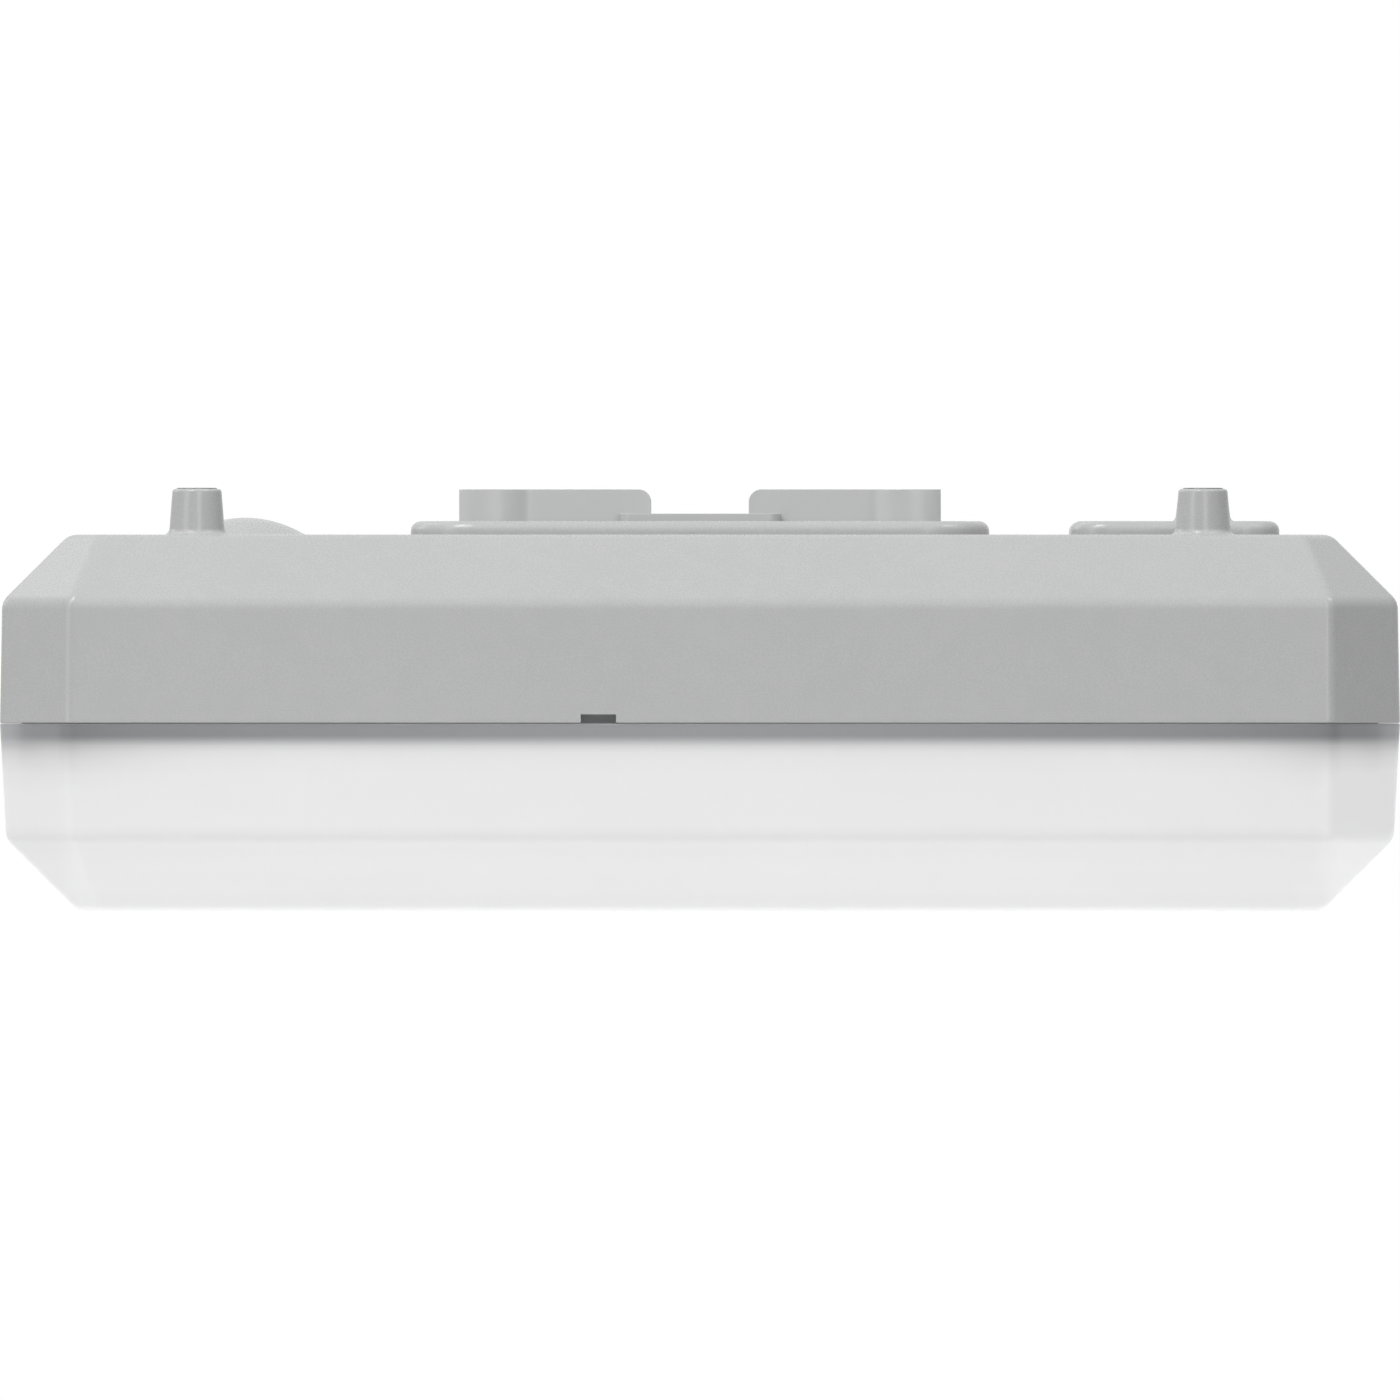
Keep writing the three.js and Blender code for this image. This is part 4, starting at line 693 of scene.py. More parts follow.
def wound(name, rgb, centre, turns=40, turns_per_metre=25.0):
    """Taped toroid: each turn of the tape overlaps the last, so the surface steps as its angle about the core grows."""
    recipe = Recipe(name)
    x, y, z = recipe.place.parts()
    angle = recipe.math("ARCTAN2", y - centre[1], x - centre[0]) * (turns / (2 * math.pi)) + z * turns_per_metre
    step = angle.fraction()
    fibres = recipe.noise(900.0, 3.0)
    seam = step < 0.07
    base = recipe.blend(step, shade(rgb, 0.86), shade(rgb, 1.06))
    lined = recipe.blend(seam * 0.7, base, shade(rgb, 0.45))
    mottled = recipe.blend(fibres.between(0.4, 0.7) * 0.3, lined, shade(rgb, 0.75))
    height = step * 0.12 + fibres * 0.02
    return recipe.surface(Base_Color=mottled, Roughness=0.38 + fibres * 0.2, Normal=recipe.bump(height, MM, 0.9))


def laminated(name, rgb, centre, core=14.5 * MM, sheets_per_metre=2000.0, strands_per_metre=1600.0):
    """Armature: thin laminations stacked along the shaft, with enamelled wire in the slots under the core's surface."""
    recipe = Recipe(name)
    x, y, z = recipe.place.parts()
    sheets = (x * sheets_per_metre).fraction()
    radius = (y - centre[1]).beside(z - centre[2])
    wire_mask = radius < core
    strands = (radius * strands_per_metre).fraction()
    iron = recipe.blend(sheets < 0.2, (0.2, 0.19, 0.18, 1.0), (0.05, 0.045, 0.04, 1.0))
    wire = recipe.blend(strands, shade(rgb, 1.2), shade(rgb, 0.5))
    both = recipe.blend(wire_mask, iron, wire)
    height = (sheets > 0.2) * 0.05 + wire_mask * strands * 0.1
    return recipe.surface(Base_Color=both, Metallic=0.8, Roughness=0.35 + strands * 0.1, Normal=recipe.bump(height, MM))


def lamp_board(name, rgb, phosphor, low, high, chips=6):
    """Lamp board: white lacquer with a tinned pad at each end of every chip, and a round of phosphor on each chip."""
    recipe = Recipe(name)
    x, y, z = recipe.place.parts()
    pitch = (high[0] - low[0]) / chips
    along = (((x - low[0]) / pitch).fraction() - 0.5) * pitch
    across = y - (low[1] + high[1]) / 2
    board, round_radius = 1.7 * MM, 1.9 * MM
    pad_start, pad_end, pad_half = mm(2.5, 4.0, 1.6)
    glow = (along.beside(across) < round_radius) * (z < high[2] - board)
    pads = (abs(along) > pad_start) * (abs(along) < pad_end) * (abs(across) < pad_half)
    grain = recipe.noise(1500.0, 2.0)
    lacquer = recipe.blend(grain * 0.4, shade(rgb, 1.0), shade(rgb, 0.9))
    tinned = recipe.blend(pads, lacquer, (0.62, 0.62, 0.6, 1.0))
    lit = recipe.blend(glow, tinned, shade(phosphor, 1.0))
    return recipe.surface(
        Base_Color=lit, Metallic=pads * 0.9, Roughness=0.35 + grain * 0.2, Normal=recipe.bump(grain, 0.02 * MM)
    )


def dark_glass(name, centre):
    """Display window: dark glass over two digits' unlit bars, each digit seven bars on a box twice as high as wide."""
    recipe = Recipe(name)
    x, y, _ = recipe.place.parts()
    width, height, bar, spread = 2.6 * MM, 3.4 * MM, 0.35 * MM, 4.2 * MM
    u, v = abs(abs(x - centre[0]) - spread), abs(y - centre[1])
    uprights = (abs(u - width) < bar) * (abs(v - height / 2) < height / 2 - 2 * bar)
    ends = (abs(v - height) < bar) * (u < width - 2 * bar)
    middle = (v < bar) * (u < width - 2 * bar)
    bars = uprights.larger(ends).larger(middle)
    smears = recipe.noise(120.0, 4.0)
    tone = recipe.blend(bars * 0.8, (0.006, 0.006, 0.007, 1.0), (0.05, 0.045, 0.042, 1.0))
    return recipe.surface(Base_Color=tone, Roughness=0.08 + smears.between(0.45, 0.8) * 0.2, Coat_Weight=0.4)


def key_face(name, rgb, centre, sign):
    """Key cap with a moulded mark in its face: a triangle that points along Y by the sign, or a square for 0."""
    recipe = Recipe(name)
    x, y, z = recipe.place.parts()
    u, v, half = abs(x - centre[0]), y - centre[1], 1.5 * MM
    if sign:
        mark = (u < (half - v * sign) * 0.6) * (abs(v) < half)
    else:
        mark = (u < 0.8 * half) * (abs(v) < 0.8 * half)
    mark = mark * (z < centre[2] - 4 * MM)
    grain = recipe.noise(1600.0, 2.0)
    base = recipe.blend(grain * 0.4, shade(rgb, 1.0), shade(rgb, 0.92))
    marked = recipe.blend(mark, base, (0.1, 0.1, 0.105, 1.0))
    height = grain * 0.01 - mark * 0.12
    return recipe.surface(Base_Color=marked, Roughness=0.36 + grain * 0.1, Normal=recipe.bump(height, MM))


# ---- Operators: one for each piece or group of like pieces ----


def roof_height(roof):
    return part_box("rail_saddle")[1].z - roof.post_height


def shell(size, flat, rim, draft, height, wall):
    """A casing shell: from the middle of its flat over the bevel and the wall to the rim, and back inside.

    Its outline has eight sides: ends, long sides and cut corners. The rounds of the upright corners tighten from
    the rim towards the middle of the flat.
    """
    low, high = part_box("top_housing")
    half_x, half_y = (high.x - low.x) / 2, (high.y - low.y) / 2
    diagonal = (half_x + half_y - size.corner_cut) / math.sqrt(2)
    sides = np.array([(45 * turn, (half_x, diagonal, half_y, diagonal)[turn % 4]) for turn in range(8)])
    way = math.copysign(1, rim - flat)
    shift, slope, middle = (math.sqrt(2) - 1) * wall, draft + height, 30 * MM
    corners = [
        (middle, flat), (slope, flat), (draft, flat + way * height), (0, rim), (wall, rim),
        (draft + wall, flat + way * (height + shift)), (slope + shift, flat + way * wall),
        (middle, flat + way * wall),
    ]
    lip, bend = size.lip_radius, size.bend_radius
    inset, z = filleted(corners, [bend, bend, lip, lip, bend - wall, bend - wall]).T
    rounding = np.interp(inset, [0, slope, inset.max()], [size.corner_radius, 0.9 * size.corner_radius, MM])
    return capped(stacked(sides, np.column_stack([inset, rounding, z]), 8))


class OPENER_OT_housing(bpy.types.Operator):
    """Upper housing: one moulded shell from roof to parting line, with its wall, notch and openings"""

    bl_idname = "opener.housing"
    bl_label = "Upper housing"

    def execute(self, context):
        size, roof = context.scene.opener_casing, context.scene.opener_roof
        bottom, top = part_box("top_housing")[0].z, roof_height(roof)
        rings = shell(size, top, bottom, size.housing_draft, size.housing_slope, size.housing_wall)
        cuts = self.openings(size, roof, bottom, top)
        piece("housing_shell", [rings], "casing", "casing", "head", "top_housing", cuts=cuts)
        return {"FINISHED"}

    def openings(self, size, roof, bottom, top):
        """What is cut out: the pry notch, the shaft's hole, and the inlet's and the grommet's openings."""
        low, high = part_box("top_housing")
        gap, deep, recess = 0.3 * MM, 8 * MM, 1.2 * MM
        outline = oblong(size.notch_length, 8 * size.housing_wall)
        notch = tube_block(outline, 0.4 * MM, [(0, -MM), (0, size.notch_height)], 0, 3, 0)
        notch = notch + (size.notch_x, low.y, bottom)
        bore = roof.collar_bore + gap
        hole = capped(revolved([(bore, top - 6 * MM), (bore, top + 6 * MM)]))
        inlet_low, inlet_high, (x, _, z) = box_of("mains_inlet")
        outline = oblong(*(side - 2 * INLET_LIP + 2 * gap for side in (inlet_high - inlet_low).xz))
        frame_hole = tube_block(outline, 1.5 * MM, [(0, -deep), (0, deep)], 0, 4, 0)
        frame_hole = along_y(frame_hole) + (x, high.y, z)
        _, front, (x, _, z) = box_of("cable_grommet")
        neck, lip, beyond = mm(6.3, 9, 4)
        profile = [(neck, -deep), (neck, -recess), (lip, -recess), (lip, beyond)]
        round_hole = along_y(capped(revolved(profile))) + (x, front.y, z)
        return [notch, hole, frame_hole, round_hole]


class OPENER_OT_posts(bpy.types.Operator):
    """Four screw posts: turned tapers with a hollow foot, a rounded edge and a seat for the threaded insert"""

    bl_idname = "opener.posts"
    bl_label = "Posts"

    def execute(self, context):
        roof = context.scene.opener_roof
        base, top = roof_height(roof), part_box("rail_saddle")[1].z
        for number in range(1, 5):
            low, high, (x, y, _) = box_of(f"post_insert_{number}")
            foot = base + roof.plinth_height if x > 0 and y > 0 else base
            seat, well, flange = 0.2 * MM, 4.7 * MM, (high.x - low.x) / 2
            shoulder = high.z - INSERT_FLANGE - seat
            corners = [
                (0, foot - MM), (roof.post_base_radius + roof.post_flare + 0.5 * MM, foot - SUNK),
                (roof.post_base_radius, foot), (roof.post_top_radius, top), (flange + seat, top),
                (flange + seat, shoulder), (well, shoulder), (well, low.z - seat), (0, low.z - seat),
            ]
            radii = [0, roof.post_flare, roof.post_edge, 0.15 * MM, 0, 0, 0]
            profile = filleted(corners, radii, 8, 0)
            piece(f"post_{number}", [revolved(profile, 72) + (x, y, 0)], "casing", "casing", "head", "top_housing")
        return {"FINISHED"}


class OPENER_OT_inserts(bpy.types.Operator):
    """Threaded inserts: a flanged sleeve whose bore carries the thread as a radius that turns with the height"""

    bl_idname = "opener.inserts"
    bl_label = "Threaded inserts"

    def execute(self, context):
        for number in range(1, 5):
            node = f"post_insert_{number}"
            low, high, (x, y, _) = box_of(node)
            flange, barrel, bore = (high.x - low.x) / 2, 4.5 * MM, 2.6 * MM
            mouth, shoulder, sides = bore + 0.4 * MM, high.z - INSERT_FLANGE, 48
            corners = [
                (mouth, high.z), (flange, high.z), (flange, shoulder), (barrel, shoulder), (barrel, low.z),
                (mouth, low.z),
            ]
            outer = filleted(corners, mm(0.2, 0.1, 0, 0.2), 4, 0)
            thread = self.thread(bore, 1 * MM, low.z, high.z, sides)
            rings = np.concatenate([revolved(outer, sides), thread])
            piece(f"insert_{number}", [looped(rings) + (x, y, 0)], "insert", "zinc", "head", node, sharp=40)
        return {"FINISHED"}

    def thread(self, bore, pitch, low, high, sides):
        """Radius = bore + depth |2 ((height / pitch - angle / turn) mod 1) - 1|, flared at both mouths."""
        height = np.linspace(low, high, int(8 * (high - low) / pitch))[:, None]
        angle = np.linspace(0, 2 * math.pi, sides, endpoint=False)
        phase = (height / pitch - angle / (2 * math.pi)) % 1
        lead, depth, flare = mm(0.5, 0.3, 0.4)
        mouth = np.clip(1 - np.minimum(height - low, high - height) / lead, 0, 1)
        radius = bore + depth * np.abs(2 * phase - 1) * (1 - mouth) + flare * mouth
        return np.stack([radius * np.cos(angle), radius * np.sin(angle), height + 0 * angle], -1)


class OPENER_OT_plinths(bpy.types.Operator):
    """Middle saddle, end pad and collar: oblong blocks with soft upper edges that stand straight up from the roof"""

    bl_idname = "opener.plinths"
    bl_label = "Plinths and collar"

    def execute(self, context):
        roof = context.scene.opener_roof
        base = roof_height(roof)
        casing_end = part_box("top_housing")[1].x
        top = base + roof.plinth_height
        bore = capped(revolved([(roof.collar_bore, base - 3 * MM), (roof.collar_bore, top + MM)]))
        saddle = (roof.saddle_length, roof.saddle_width, roof.saddle_corner, 0, 0)
        pad = (roof.pad_length, roof.pad_width, roof.pad_corner, casing_end - roof.pad_inset, roof.pad_y)
        blocks = (("saddle_plinth", "rail_saddle", [bore], saddle), ("end_plinth", "top_housing", [], pad))
        reach = 12 * MM
        line = [(reach, base - MM), (0, base - MM), (0, top), (reach, top)]
        profile = filleted(line, [0, roof.plinth_edge], 10)
        for name, node, cuts, (along, across, corner, x, y) in blocks:
            rings = tube_block(oblong(along, across), corner, profile)
            piece(name, [rings + (x, y, 0)], "casing", "casing", "head", node, cuts=cuts)
        self.collar(roof, top)
        return {"FINISHED"}

    def collar(self, roof, base):
        """Square outside and round inside: at the last inset the corners' rounding makes up the whole ring."""
        top, bore = base + roof.collar_height, roof.collar_bore
        inner = roof.collar_size / 2 - bore
        line = [(0, base - MM), (0, top), (inner, top), (inner, base - 7 * MM)]
        inset, height = filleted(line, mm(0.15, 0.5), 5, 0.2 * MM).T
        rounding = np.interp(inset, [0, 3 * MM, inner - 0.6 * MM, inner], [3.5 * MM, 3 * MM, bore + 0.6 * MM, bore])
        rows = np.column_stack([inset, np.minimum(rounding, roof.collar_size / 2 - inset), height])
        rings = stacked(oblong(roof.collar_size, roof.collar_size), rows, 16, 0)
        # Painted light: the collar wears the lighter seat copy of the casing finish
        piece("shaft_collar", [looped(rings)], "seat", "casing", "head", "rail_saddle")


class OPENER_OT_rail_walls(bpy.types.Operator):
    """Four rail walls: an upright section carried along X, bulging round the pilot hole near its outer end"""

    bl_idname = "opener.rail_walls"
    bl_label = "Rail walls"

    def execute(self, context):
        roof = context.scene.opener_roof
        base, top = roof_height(roof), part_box("rail_saddle")[1].z
        wall = self.wall(roof, base, top)
        boss_x = roof.wall_gap + roof.wall_length - roof.boss_radius / 2
        pilot = capped(revolved([(roof.pilot_radius, top - 8 * MM), (roof.pilot_radius, top + MM)], 24))
        pilot = pilot + (boss_x, roof.wall_gap + roof.wall_thickness, 0)
        names = {(1, 1): "rear_right", (-1, 1): "rear_left", (-1, -1): "front_left", (1, -1): "front_right"}
        for (sign_x, sign_y), place in names.items():
            turn = np.array((sign_x, sign_y, 1))
            name = f"rail_wall_{place}"
            # Painted light: the walls wear the lighter seat copy of the casing finish
            piece(name, [wall * turn], "seat", "casing", "head", "rail_saddle", cuts=[pilot * turn])
        return {"FINISHED"}

    def wall(self, roof, base, top):
        """Stations along X, each a section from the foot over two rounded edges and down again.

        The outer face follows the straight wall, a hollow curve and the boss's circle; at the inner end the top
        follows a quarter round, and both ends draw in by the edge's round.
        """
        edge, corner = 0.2 * MM, roof.wall_corner
        start, end = roof.wall_gap, roof.wall_gap + roof.wall_length
        quarter = np.linspace(0, math.pi / 2, 9)
        nose = start + edge * (1 - np.cos(quarter))
        shoulder = start + corner * (1 - np.cos(np.linspace(0, math.pi / 2, 15)))
        tail = end - edge * (1 - np.cos(quarter))
        straight = np.linspace(start + corner, end - edge, 44)
        x = np.unique(np.round(np.concatenate([nose, shoulder, straight, tail]), 7))
        tail_in = fall(edge, end - x)
        inset = fall(edge, x - start) + tail_in
        crown = top - fall(corner, x - start) - tail_in
        inner = start + inset
        outer = self.outer_face(roof, x) - inset
        round_y, round_z = edge * (1 - np.cos(quarter)), edge * np.sin(quarter)
        foot = np.full_like(x, base - MM)
        near = [(inner, foot)] + [(inner + dy, crown - edge + dz) for dy, dz in zip(round_y, round_z)]
        far = [(outer - dy, crown - edge + dz) for dy, dz in zip(round_y[::-1], round_z[::-1])] + [(outer, foot)]
        section = np.stack([np.stack(pair, 1) for pair in near + far], 1)
        lean = roof.wall_draft * np.clip(section[..., 1] - base, 0, None) / roof.wall_thickness
        section[..., 0] -= (section[..., 0] - start) * lean
        along = np.broadcast_to(x[:, None, None], section[..., :1].shape)
        return capped(np.concatenate([along, section], -1))

    def outer_face(self, roof, x):
        """The wall's outer face: the soft maximum of a straight line and the boss's circle."""
        straight = roof.wall_gap + roof.wall_thickness
        boss_x = roof.wall_gap + roof.wall_length - roof.boss_radius / 2
        boss_y = straight + roof.boss_stand - roof.boss_radius
        circle = boss_y + np.sqrt(np.clip(roof.boss_radius**2 - (x - boss_x) ** 2, 0, None))
        return soft_maximum(straight, circle)


class OPENER_OT_dome(bpy.types.Operator):
    """Dome over the transformer's bolt: a cap of a sphere that runs out into the roof"""

    bl_idname = "opener.dome"
    bl_label = "Dome"

    def execute(self, context):
        roof = context.scene.opener_roof
        base = roof_height(roof)
        _, _, (x, y, _) = box_of("transformer_bolt")
        radius, height = roof.dome_radius, roof.dome_height
        sphere = (radius**2 + height**2) / (2 * height)
        reach = np.linspace(0, radius + 3 * MM, 40)
        cap = height - sphere + np.sqrt(sphere**2 - reach**2)
        profile = np.column_stack([reach, base + soft_maximum(0, cap) - SUNK])
        profile = np.concatenate([profile, [(radius + 3 * MM, base - MM), (0, base - MM)]])
        piece("bolt_dome", [revolved(profile, 96) + (x, y, 0)], "casing", "casing", "head", "top_housing")
        return {"FINISHED"}


class OPENER_OT_light_cover(bpy.types.Operator):
    """Light cover: one frosted bowl with bevelled bottom edges and short ribs that guide it on the tray"""

    bl_idname = "opener.light_cover"
    bl_label = "Light cover"

    def execute(self, context):
        size = context.scene.opener_casing
        low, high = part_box("lens_cover")
        high.z += RIM_RISE
        rings = shell(size, low.z, high.z, size.cover_draft, size.cover_slope, size.cover_wall)
        grids = [rings, *self.ribs(size.cover_wall, high)]
        piece("light_cover", grids, "frosted", "lens", "light_cover", "lens_cover")
        return {"FINISHED"}

    def ribs(self, wall, high):
        """Six small blocks with rounded edges, four on the long sides and one on each end."""
        gap, reach, spread, edge = 0.3 * MM, 3.8 * MM, 110 * MM, 0.4 * MM
        bottom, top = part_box("inner_frame")[0].z + gap, high.z - RIM_RISE - gap
        along, across = (half - wall + gap - reach / 2 for half in high.xy)
        line = filleted([(edge, bottom), (0, bottom), (0, top), (edge, top)], mm(0.2, 0.2), 3, 0)
        upright = tube_block(oblong(1.5 * MM, reach), 0.3 * MM, line, 1, 3, 0)
        lying = tube_block(oblong(reach, 1.5 * MM), 0.3 * MM, line, 1, 3, 0)
        places = [(x, y) for x in (-spread, spread) for y in (-across, across)]
        return [upright + (x, y, 0) for x, y in places] + [lying + (x, 0, 0) for x in (-along, along)]


class OPENER_OT_output(bpy.types.Operator):
    """Output shaft: turned steel from its ring groove up to the hub, whose hexagon socket drives the rail"""

    bl_idname = "opener.output"
    bl_label = "Output shaft"

    def execute(self, context):
        low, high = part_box("output_shaft")
        hub, shaft, groove = (high.x - low.x) / 2, 7 * MM, 5.6 * MM
        ring_low, ring_high = (corner.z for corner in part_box("shaft_circlip"))
        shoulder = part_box("upper_bush")[0].z
        line = [
            (shaft - MM, low.z), (shaft, low.z), (shaft, ring_low), (groove, ring_low), (groove, ring_high),
            (shaft, ring_high), (shaft, shoulder), (hub, shoulder), (hub, high.z), (hub - 3 * MM, high.z),
        ]
        outer = filleted(line, mm(0.5, 0, 0, 0, 0, 0.4, 0.3, 0.6), 5, 0)
        flats, floor = 12 * MM, high.z - 14 * MM
        socket = [
            (-0.9 * MM, flats / 2 + 0.9 * MM, high.z), (-0.3 * MM, 3.2 * MM, high.z - 0.4 * MM),
            (0, 0.4 * MM, high.z - 1.2 * MM), (0, 0.4 * MM, floor + 0.4 * MM), (0.4 * MM, 0.4 * MM, floor),
            (4 * MM, 0.4 * MM, floor - 0.6 * MM),
        ]
        rings = socketed(flats, outer, socket, 10)
        piece("output_hub", [rings], "steel", "steel", "output", "output_shaft", sharp=35)
        return {"FINISHED"}


class OPENER_OT_rear_fittings(bpy.types.Operator):
    """Mains inlet with its cavity and three blade pins, and the blind rubber grommet beside it"""

    bl_idname = "opener.rear_fittings"
    bl_label = "Rear fittings"

    def execute(self, context):
        low, high, (x, _, z) = box_of("mains_inlet")
        lip, front, back = INLET_LIP, high.y, low.y
        width, height = (side - 2 * lip for side in (high - low).xz)
        cavity, deep, pitch = mm(23, 15, 7)
        inset_x = (width - cavity) / 2
        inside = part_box("cable_grommet")[0].y + 2 * MM
        line = [
            (0.5 * height, back), (0, back), (0, inside - 2 * MM), (-lip, inside - 2 * MM), (-lip, inside),
            (0, inside), (0, front), (inset_x, front), (inset_x, front - deep),
            (0.45 * height, front - deep),
        ]
        profile = filleted(line, mm(0.6, 0, 0.4, 0.4, 0, 0.6, 0.4, 0.3), 5)
        rings = tube_block(oblong(width, height), 2 * MM, profile, 0.4)
        piece("inlet_body", [along_y(rings) + (x, 0, z)], "dark_plastic", "dark_plastic", "head", "mains_inlet")
        floor, tip = front - deep - 0.5 * MM, front - 2 * MM
        blade = filleted([(0.8 * MM, floor), (0, floor), (0, tip), (0.7 * MM, tip)], mm(0, 0.5), 5, 0)
        pin = along_y(tube_block(oblong(2 * MM, 4 * MM), 0.3 * MM, blade, 0, 4, 0))
        pins = [pin + (x + side * pitch, 0, z) for side in (-1, 0, 1)]
        piece("inlet_pins", pins, "steel", "steel", "head", "mains_inlet")
        self.grommet()
        return {"FINISHED"}

    def grommet(self):
        """A rubber ring with a rounded lip, a neck through the wall and a thin membrane across its bore."""
        low, high, (x, _, z) = box_of("cable_grommet")
        lip, neck, bore = (high.x - low.x) / 2, 6 * MM, 3 * MM
        skin = (low.y + high.y) / 2
        line = [
            (0, skin - 0.5 * MM), (bore, skin - 0.5 * MM), (bore, low.y), (neck + 2 * MM, low.y),
            (neck + 2 * MM, low.y + 2 * MM), (neck, low.y + 2 * MM), (neck, high.y - 0.9 * MM),
            (lip, high.y - 0.9 * MM), (lip, high.y), (bore, high.y), (bore, skin + 0.5 * MM),
            (0, skin + 0.5 * MM),
        ]
        radii = mm(0.3, 0.6, 0.8, 0, 0, 0, 0.3, 0.5, 0.7, 0.3)
        profile = filleted(line, radii, 5, 0)
        rings = along_y(revolved(profile)) + (x, 0, z)
        piece("grommet_ring", [rings], "rubber", "rubber", "head", "cable_grommet")


class OPENER_OT_keys(bpy.types.Operator):
    """Three push keys: turned caps with a dished face, a flange behind the panel and a stem to the switch"""

    bl_idname = "opener.keys"
    bl_label = "Push keys"

    def execute(self, context):
        for number, body in enumerate(("up_key", "set_key", "down_key"), 1):
            low, high, (x, y, _) = box_of(f"key_{number}")
            cap, stem, panel = mm(4, 2, 2.8)
            flange, shelf = (high.x - low.x) / 2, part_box("inner_frame")[0].z + panel
            line = [
                (0, low.z + 0.35 * MM), (cap - 1.2 * MM, low.z + 0.1 * MM), (cap, low.z), (cap, shelf),
                (flange, shelf), (flange, shelf + MM), (stem, shelf + MM), (stem, high.z), (0, high.z),
            ]
            profile = filleted(line, mm(2, 0.6, 0, 0.2, 0.2, 0, 0.3), 6, 0)
            rings = revolved(profile, 48) + (x, y, 0)
            piece(f"key_cap_{number}", [rings], f"key_mark_{number}", "white", body, f"key_{number}")
        return {"FINISHED"}


class OPENER_OT_screws(bpy.types.Operator):
    """Pan-head screws: a domed head with a rounded rim and a hexagon recess, over a plain round shank"""

    bl_idname = "opener.screws"
    bl_label = "Screws"

    def execute(self, context):
        for number in range(1, 5):
            self.screw(f"frame_screw_{number}", f"tray_screw_{number}", 3.6, 1.6, 2.2)
            self.screw(f"gearbox_screw_{number}", f"case_screw_{number}", 3.8, 2, 2.6)
        return {"FINISHED"}

    def screw(self, node, name, *sizes):
        """The sizes are the head's and the shank's radius and the head's height, in millimetres."""
        head, shank, head_height = mm(*sizes)
        low, high, (x, y, _) = box_of(node)
        flats, shelf = 0.8 * head, low.z + head_height
        line = [
            (shank - 0.8 * MM, high.z), (shank, high.z - MM), (shank, shelf), (head, shelf), (head, low.z),
            (0.62 * head, low.z),
        ]
        outer = filleted(line, mm(0.2, 0, 0.3, 1.1), 5, 0)
        floor = low.z + 0.6 * head_height
        socket = [
            (-0.3 * MM, flats / 2 + 0.3 * MM, low.z), (0, 0.2 * MM, low.z + 0.3 * MM), (0, 0.2 * MM, floor),
            (0.4 * flats, 0.1 * MM, floor + 0.3 * MM),
        ]
        piece(name, [socketed(flats, outer, socket, 6) + (x, y, 0)], "steel", "steel", "head", node, sharp=40)


class OPENER_OT_materials(bpy.types.Operator):
    """Every finish, and what each part that keeps its engineering shape wears"""

    bl_idname = "opener.materials"
    bl_label = "Finishes"

    def execute(self, context):
        look = context.scene.opener_finishes
        wear = look.wear
        moulded("casing", look.casing, 0.27, 0.45, 0.005, wear)
        # Painted light: the rail walls and the collar wear the casing's grey made 8 % lighter, and a little rougher
        moulded("seat", shade(look.casing, 1.08), 0.33, 0.45, 0.005, wear)
        frosted("frosted", look.cover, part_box("lens_cover"))
        moulded("tray", look.tray, 0.5, 0.6, 0.03, wear)
        moulded("white", look.white, 0.42, 0.5, 0.015, wear)
        moulded("dark_plastic", look.dark, 0.45, 0.5, 0.03, wear, 0.12)
        moulded("rubber", look.rubber, 0.75, 0.8, 0.04, 0.2, 0.15, 0.08)
        moulded("nylon", look.nylon, 0.38, 0.7, 0.015, wear)
        moulded("relay", look.relay, 0.35, 0.5, 0.02, wear, 0.08)
        metal("steel", look.steel)
        metal("insert", look.insert, 0.35, (400.0, 400.0, 60.0), 0.01)
        metal("zinc", look.zinc, 0.42, (240.0, 240.0, 240.0), 0.02, 0.3, 0.1)
        metal("bronze", look.bronze, 0.4, (300.0, 300.0, 300.0), 0.02, 0.7, 0.2)
        metal("brass", look.brass, 0.28, (90.0, 1500.0, 1500.0))
        metal("can_steel", look.steel, 0.3, (1500.0, 60.0, 60.0), 0.012)
        metal("ferrite", (0.09, 0.09, 0.095), 0.6, (300.0, 300.0, 300.0), 0.02, 0.6, 0.2)
        solder_mask("solder_mask", look.mask)
        wound("tape", look.tape, box_of("transformer_coil")[2])
        laminated("laminated", look.copper, box_of("motor_shaft")[2])
        dark_glass("display_glass", box_of("display")[2])
        for number, sign in ((1, 1), (2, 0), (3, -1)):
            key_face(f"key_mark_{number}", look.white, box_of(f"key_{number}")[2], sign)
        for side in ("left", "right"):
            low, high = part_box(f"led_board_{side}")
            lamp_board(f"lamps_{side}", look.white, look.phosphor, low, high)
        self.dress()
        return {"FINISHED"}

    def dress(self):
        wears = {
            "tray": "inner_frame",
            "white": "reflector_panel",
            "zinc": "gearbox_case gearbox_lid",
            "bronze": "lower_bush upper_bush worm_bush front_motor_bush rear_motor_bush",
            "steel": "shaft_circlip motor_shaft worm transformer_washer transformer_bolt",
            "can_steel": "motor_can",
            "nylon": "worm_wheel",
            "brass": "commutator",
            "laminated": "armature",
            "ferrite": "upper_magnet lower_magnet",
            "dark_plastic": "encoder_disc motor_end_cap speed_sensor fuse_holder control_bezel smoothing_capacitor "
            "key_switch_1 key_switch_2 key_switch_3",
            "rubber": "transformer_pad",
            "tape": "transformer_coil",
            "solder_mask": "control_board radio_module",
            "relay": "relay_up relay_down terminal_block",
            "display_glass": "display",
            "lamps_left": "led_board_left",
            "lamps_right": "led_board_right",
        }
        for name, nodes in wears.items():
            for node in nodes.split():
                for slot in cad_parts[node].material_slots:
                    slot.material = finish(name)


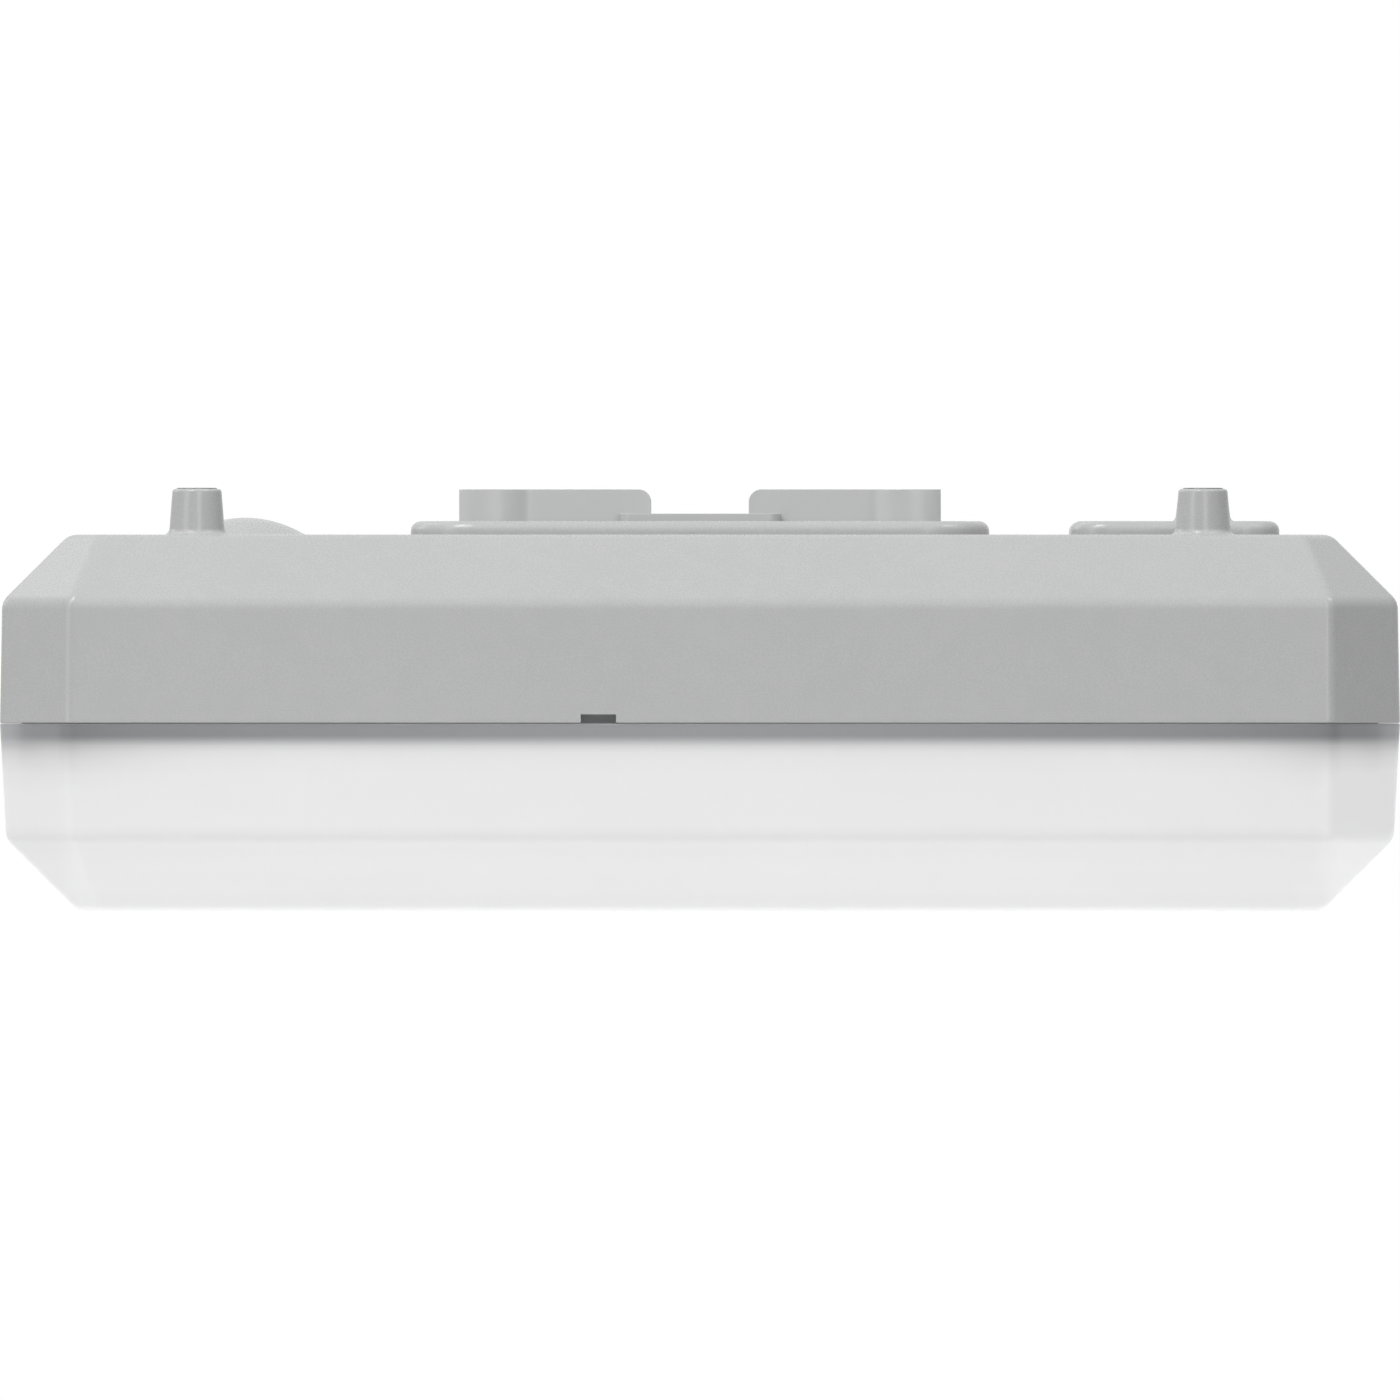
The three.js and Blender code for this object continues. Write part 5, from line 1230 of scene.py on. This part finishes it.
class OPENER_OT_stage(bpy.types.Operator):
    """Stage: pale floor, soft lamps, even surroundings and a long-lens camera square to the front"""

    bl_idname = "opener.stage"
    bl_label = "Stage"

    def execute(self, context):
        stage = context.scene.opener_stage
        context.scene.view_settings.view_transform = "Standard"
        self.surroundings(context.scene, stage)
        self.floor(stage)
        for azimuth, elevation, share in LAMPS:
            self.softbox(stage, azimuth, elevation, share)
        self.camera(context.scene, stage)
        return {"FINISHED"}

    def surroundings(self, scene, stage):
        """Even light, white seen straight or through the cover; mirrored, it is dimmer, with bright boxes."""
        world = bpy.data.worlds.new("surroundings")
        world.use_nodes = True
        world.node_tree.nodes.clear()
        graph = Wire(world.node_tree)
        rays = ("Is Camera Ray", "Is Glossy Ray", "Is Transmission Ray")
        seen, glossy, through = (graph.node("ShaderNodeLightPath", output=ray) for ray in rays)
        x, y, z = graph.node("ShaderNodeTexCoord", output="Generated").parts()
        azimuth = graph.math("ARCTAN2", x, y * -1) * (180 / math.pi)
        boxes = 0
        for middle, half, bottom, top, level in MIRRORED_BOXES:
            side = abs(azimuth - middle).between(half, half + BOX_FADE)
            boxes = (1 - side) * (z > bottom) * (z < top) * level + boxes
        mirrored = boxes * stage.boxes + stage.mirrored + y.between(*BACKDROP_FADE) * stage.backdrop
        strength = seen.larger(through).larger(glossy * mirrored + (1 - glossy) * stage.ambient)
        light = graph.node("ShaderNodeBackground", (), {"Color": (1, 1, 1, 1), "Strength": strength})
        graph.node("ShaderNodeOutputWorld", (), {"Surface": light})
        scene.world = world

    def floor(self, stage):
        """A flat disc that reads white where it is lit, keeps the shadow, and glows softly under the object.

        It is clear from below, so that the underside of the opener can be looked at through it.
        """
        recipe = Recipe("floor")
        x, y, _ = recipe.place.parts()
        pale = (*[stage.floor_white] * 3, 1)
        paper = recipe.blend(recipe.noise(12.0), pale, shade(pale, 0.98))
        seen = recipe.node("ShaderNodeLightPath", output="Is Camera Ray")
        past_side = (abs(x) - frame_box[1].x).larger(abs(y) - frame_box[1].y)
        glow = (1 - past_side.between(*GLOW_FADE)) * stage.floor_glow
        away = recipe.node("ShaderNodeVectorMath", {"operation": "LENGTH"}, {0: recipe.place}, 1)
        lift = away.between(*LIFT_FADE) * LIFT_GAIN + stage.floor_lift
        strength = seen * lift + (1 - seen) * glow
        light = recipe.node("ShaderNodeEmission", (), {"Color": (1, 1, 1, 1), "Strength": strength})
        diffuse = recipe.node("ShaderNodeBsdfDiffuse", (), {"Color": paper})
        both = recipe.node("ShaderNodeAddShader", (), {0: diffuse, 1: light})
        from_above = recipe.node("ShaderNodeNewGeometry", output="Normal").parts()[2] > 0
        clear = recipe.node("ShaderNodeBsdfTransparent")
        shown = recipe.node("ShaderNodeMixShader", (), {0: from_above, 1: clear, 2: both})
        recipe.node("ShaderNodeOutputMaterial", (), {"Surface": shown})
        under = frame_box[0].z - stage.floor_drop
        profile = [(stage.floor_radius, under - FLOOR_THICKNESS), (stage.floor_radius, under)]
        disc = object_of("floor", [capped(revolved(profile, 96))])
        disc.data.materials.append(recipe.material)

    def softbox(self, stage, azimuth, elevation, share):
        """A tall area lamp, aimed at the middle; its power gives its share of the key level on a face turned to it."""
        a, e = math.radians(azimuth), math.radians(elevation)
        back = np.array((math.sin(a) * math.cos(e), -math.cos(a) * math.cos(e), math.sin(e)))
        lamp = bpy.data.lights.new(f"softbox_{azimuth}", "AREA")
        lamp.shape, (lamp.size, lamp.size_y) = "RECTANGLE", LAMP_SIZE
        lamp.energy = math.pi**2 * LAMP_DISTANCE**2 * stage.key * share
        thing = bpy.data.objects.new(lamp.name, lamp)
        thing.location = np.array((frame_box[0] + frame_box[1]) / 2) + back * LAMP_DISTANCE
        thing.rotation_euler = (math.radians(90 - elevation), 0, a)
        thing.visible_camera = False
        thing.visible_glossy = False
        bpy.context.scene.collection.objects.link(thing)

    def camera(self, scene, stage):
        """Level, square to the long side, framing its full length at the widest plane."""
        low, high = frame_box
        data = bpy.data.cameras.new("camera")
        data.lens, data.sensor_width, data.clip_end = stage.lens, stage.sensor, 40
        camera = bpy.data.objects.new("camera", data)
        widest = low.y + scene.opener_casing.corner_cut
        distance = (high.x - low.x) * stage.lens / stage.sensor
        camera.location = ((low.x + high.x) / 2, widest - distance, (low.z + high.z) / 2 - stage.lower)
        camera.rotation_euler = (math.radians(90), 0, 0)
        scene.collection.objects.link(camera)
        scene.camera = camera


class OPENER_PT_panel(bpy.types.Panel):
    bl_idname = "OPENER_PT_panel"
    bl_label = "Door opener"
    bl_space_type = "VIEW_3D"
    bl_region_type = "UI"
    bl_category = "Opener"

    def draw(self, context):
        for operator in OPERATORS:
            self.layout.operator(operator.bl_idname)
        for name in GROUPS:
            settings = getattr(context.scene, name)
            column = self.layout.column(heading=name)
            for key in settings.__annotations__:
                column.prop(settings, key)


GROUPS = {
    "opener_casing": CasingSizes,
    "opener_roof": RoofSizes,
    "opener_finishes": Finishes,
    "opener_stage": StageSettings,
}

OPERATORS = (
    OPENER_OT_materials,
    OPENER_OT_housing,
    OPENER_OT_posts,
    OPENER_OT_inserts,
    OPENER_OT_plinths,
    OPENER_OT_rail_walls,
    OPENER_OT_dome,
    OPENER_OT_light_cover,
    OPENER_OT_output,
    OPENER_OT_rear_fittings,
    OPENER_OT_keys,
    OPENER_OT_screws,
    OPENER_OT_stage,
)


def register():
    for kind in (*GROUPS.values(), *OPERATORS, OPENER_PT_panel):
        bpy.utils.register_class(kind)
    for name, kind in GROUPS.items():
        setattr(bpy.types.Scene, name, PointerProperty(type=kind))


def unregister():
    for name in GROUPS:
        delattr(bpy.types.Scene, name)
    for kind in (OPENER_PT_panel, *reversed(OPERATORS), *reversed(GROUPS.values())):
        bpy.utils.unregister_class(kind)


def main():
    register()
    for operator in OPERATORS:
        group, name = operator.bl_idname.split(".")
        getattr(getattr(bpy.ops, group), name)()


if __name__ == "__main__":
    main()
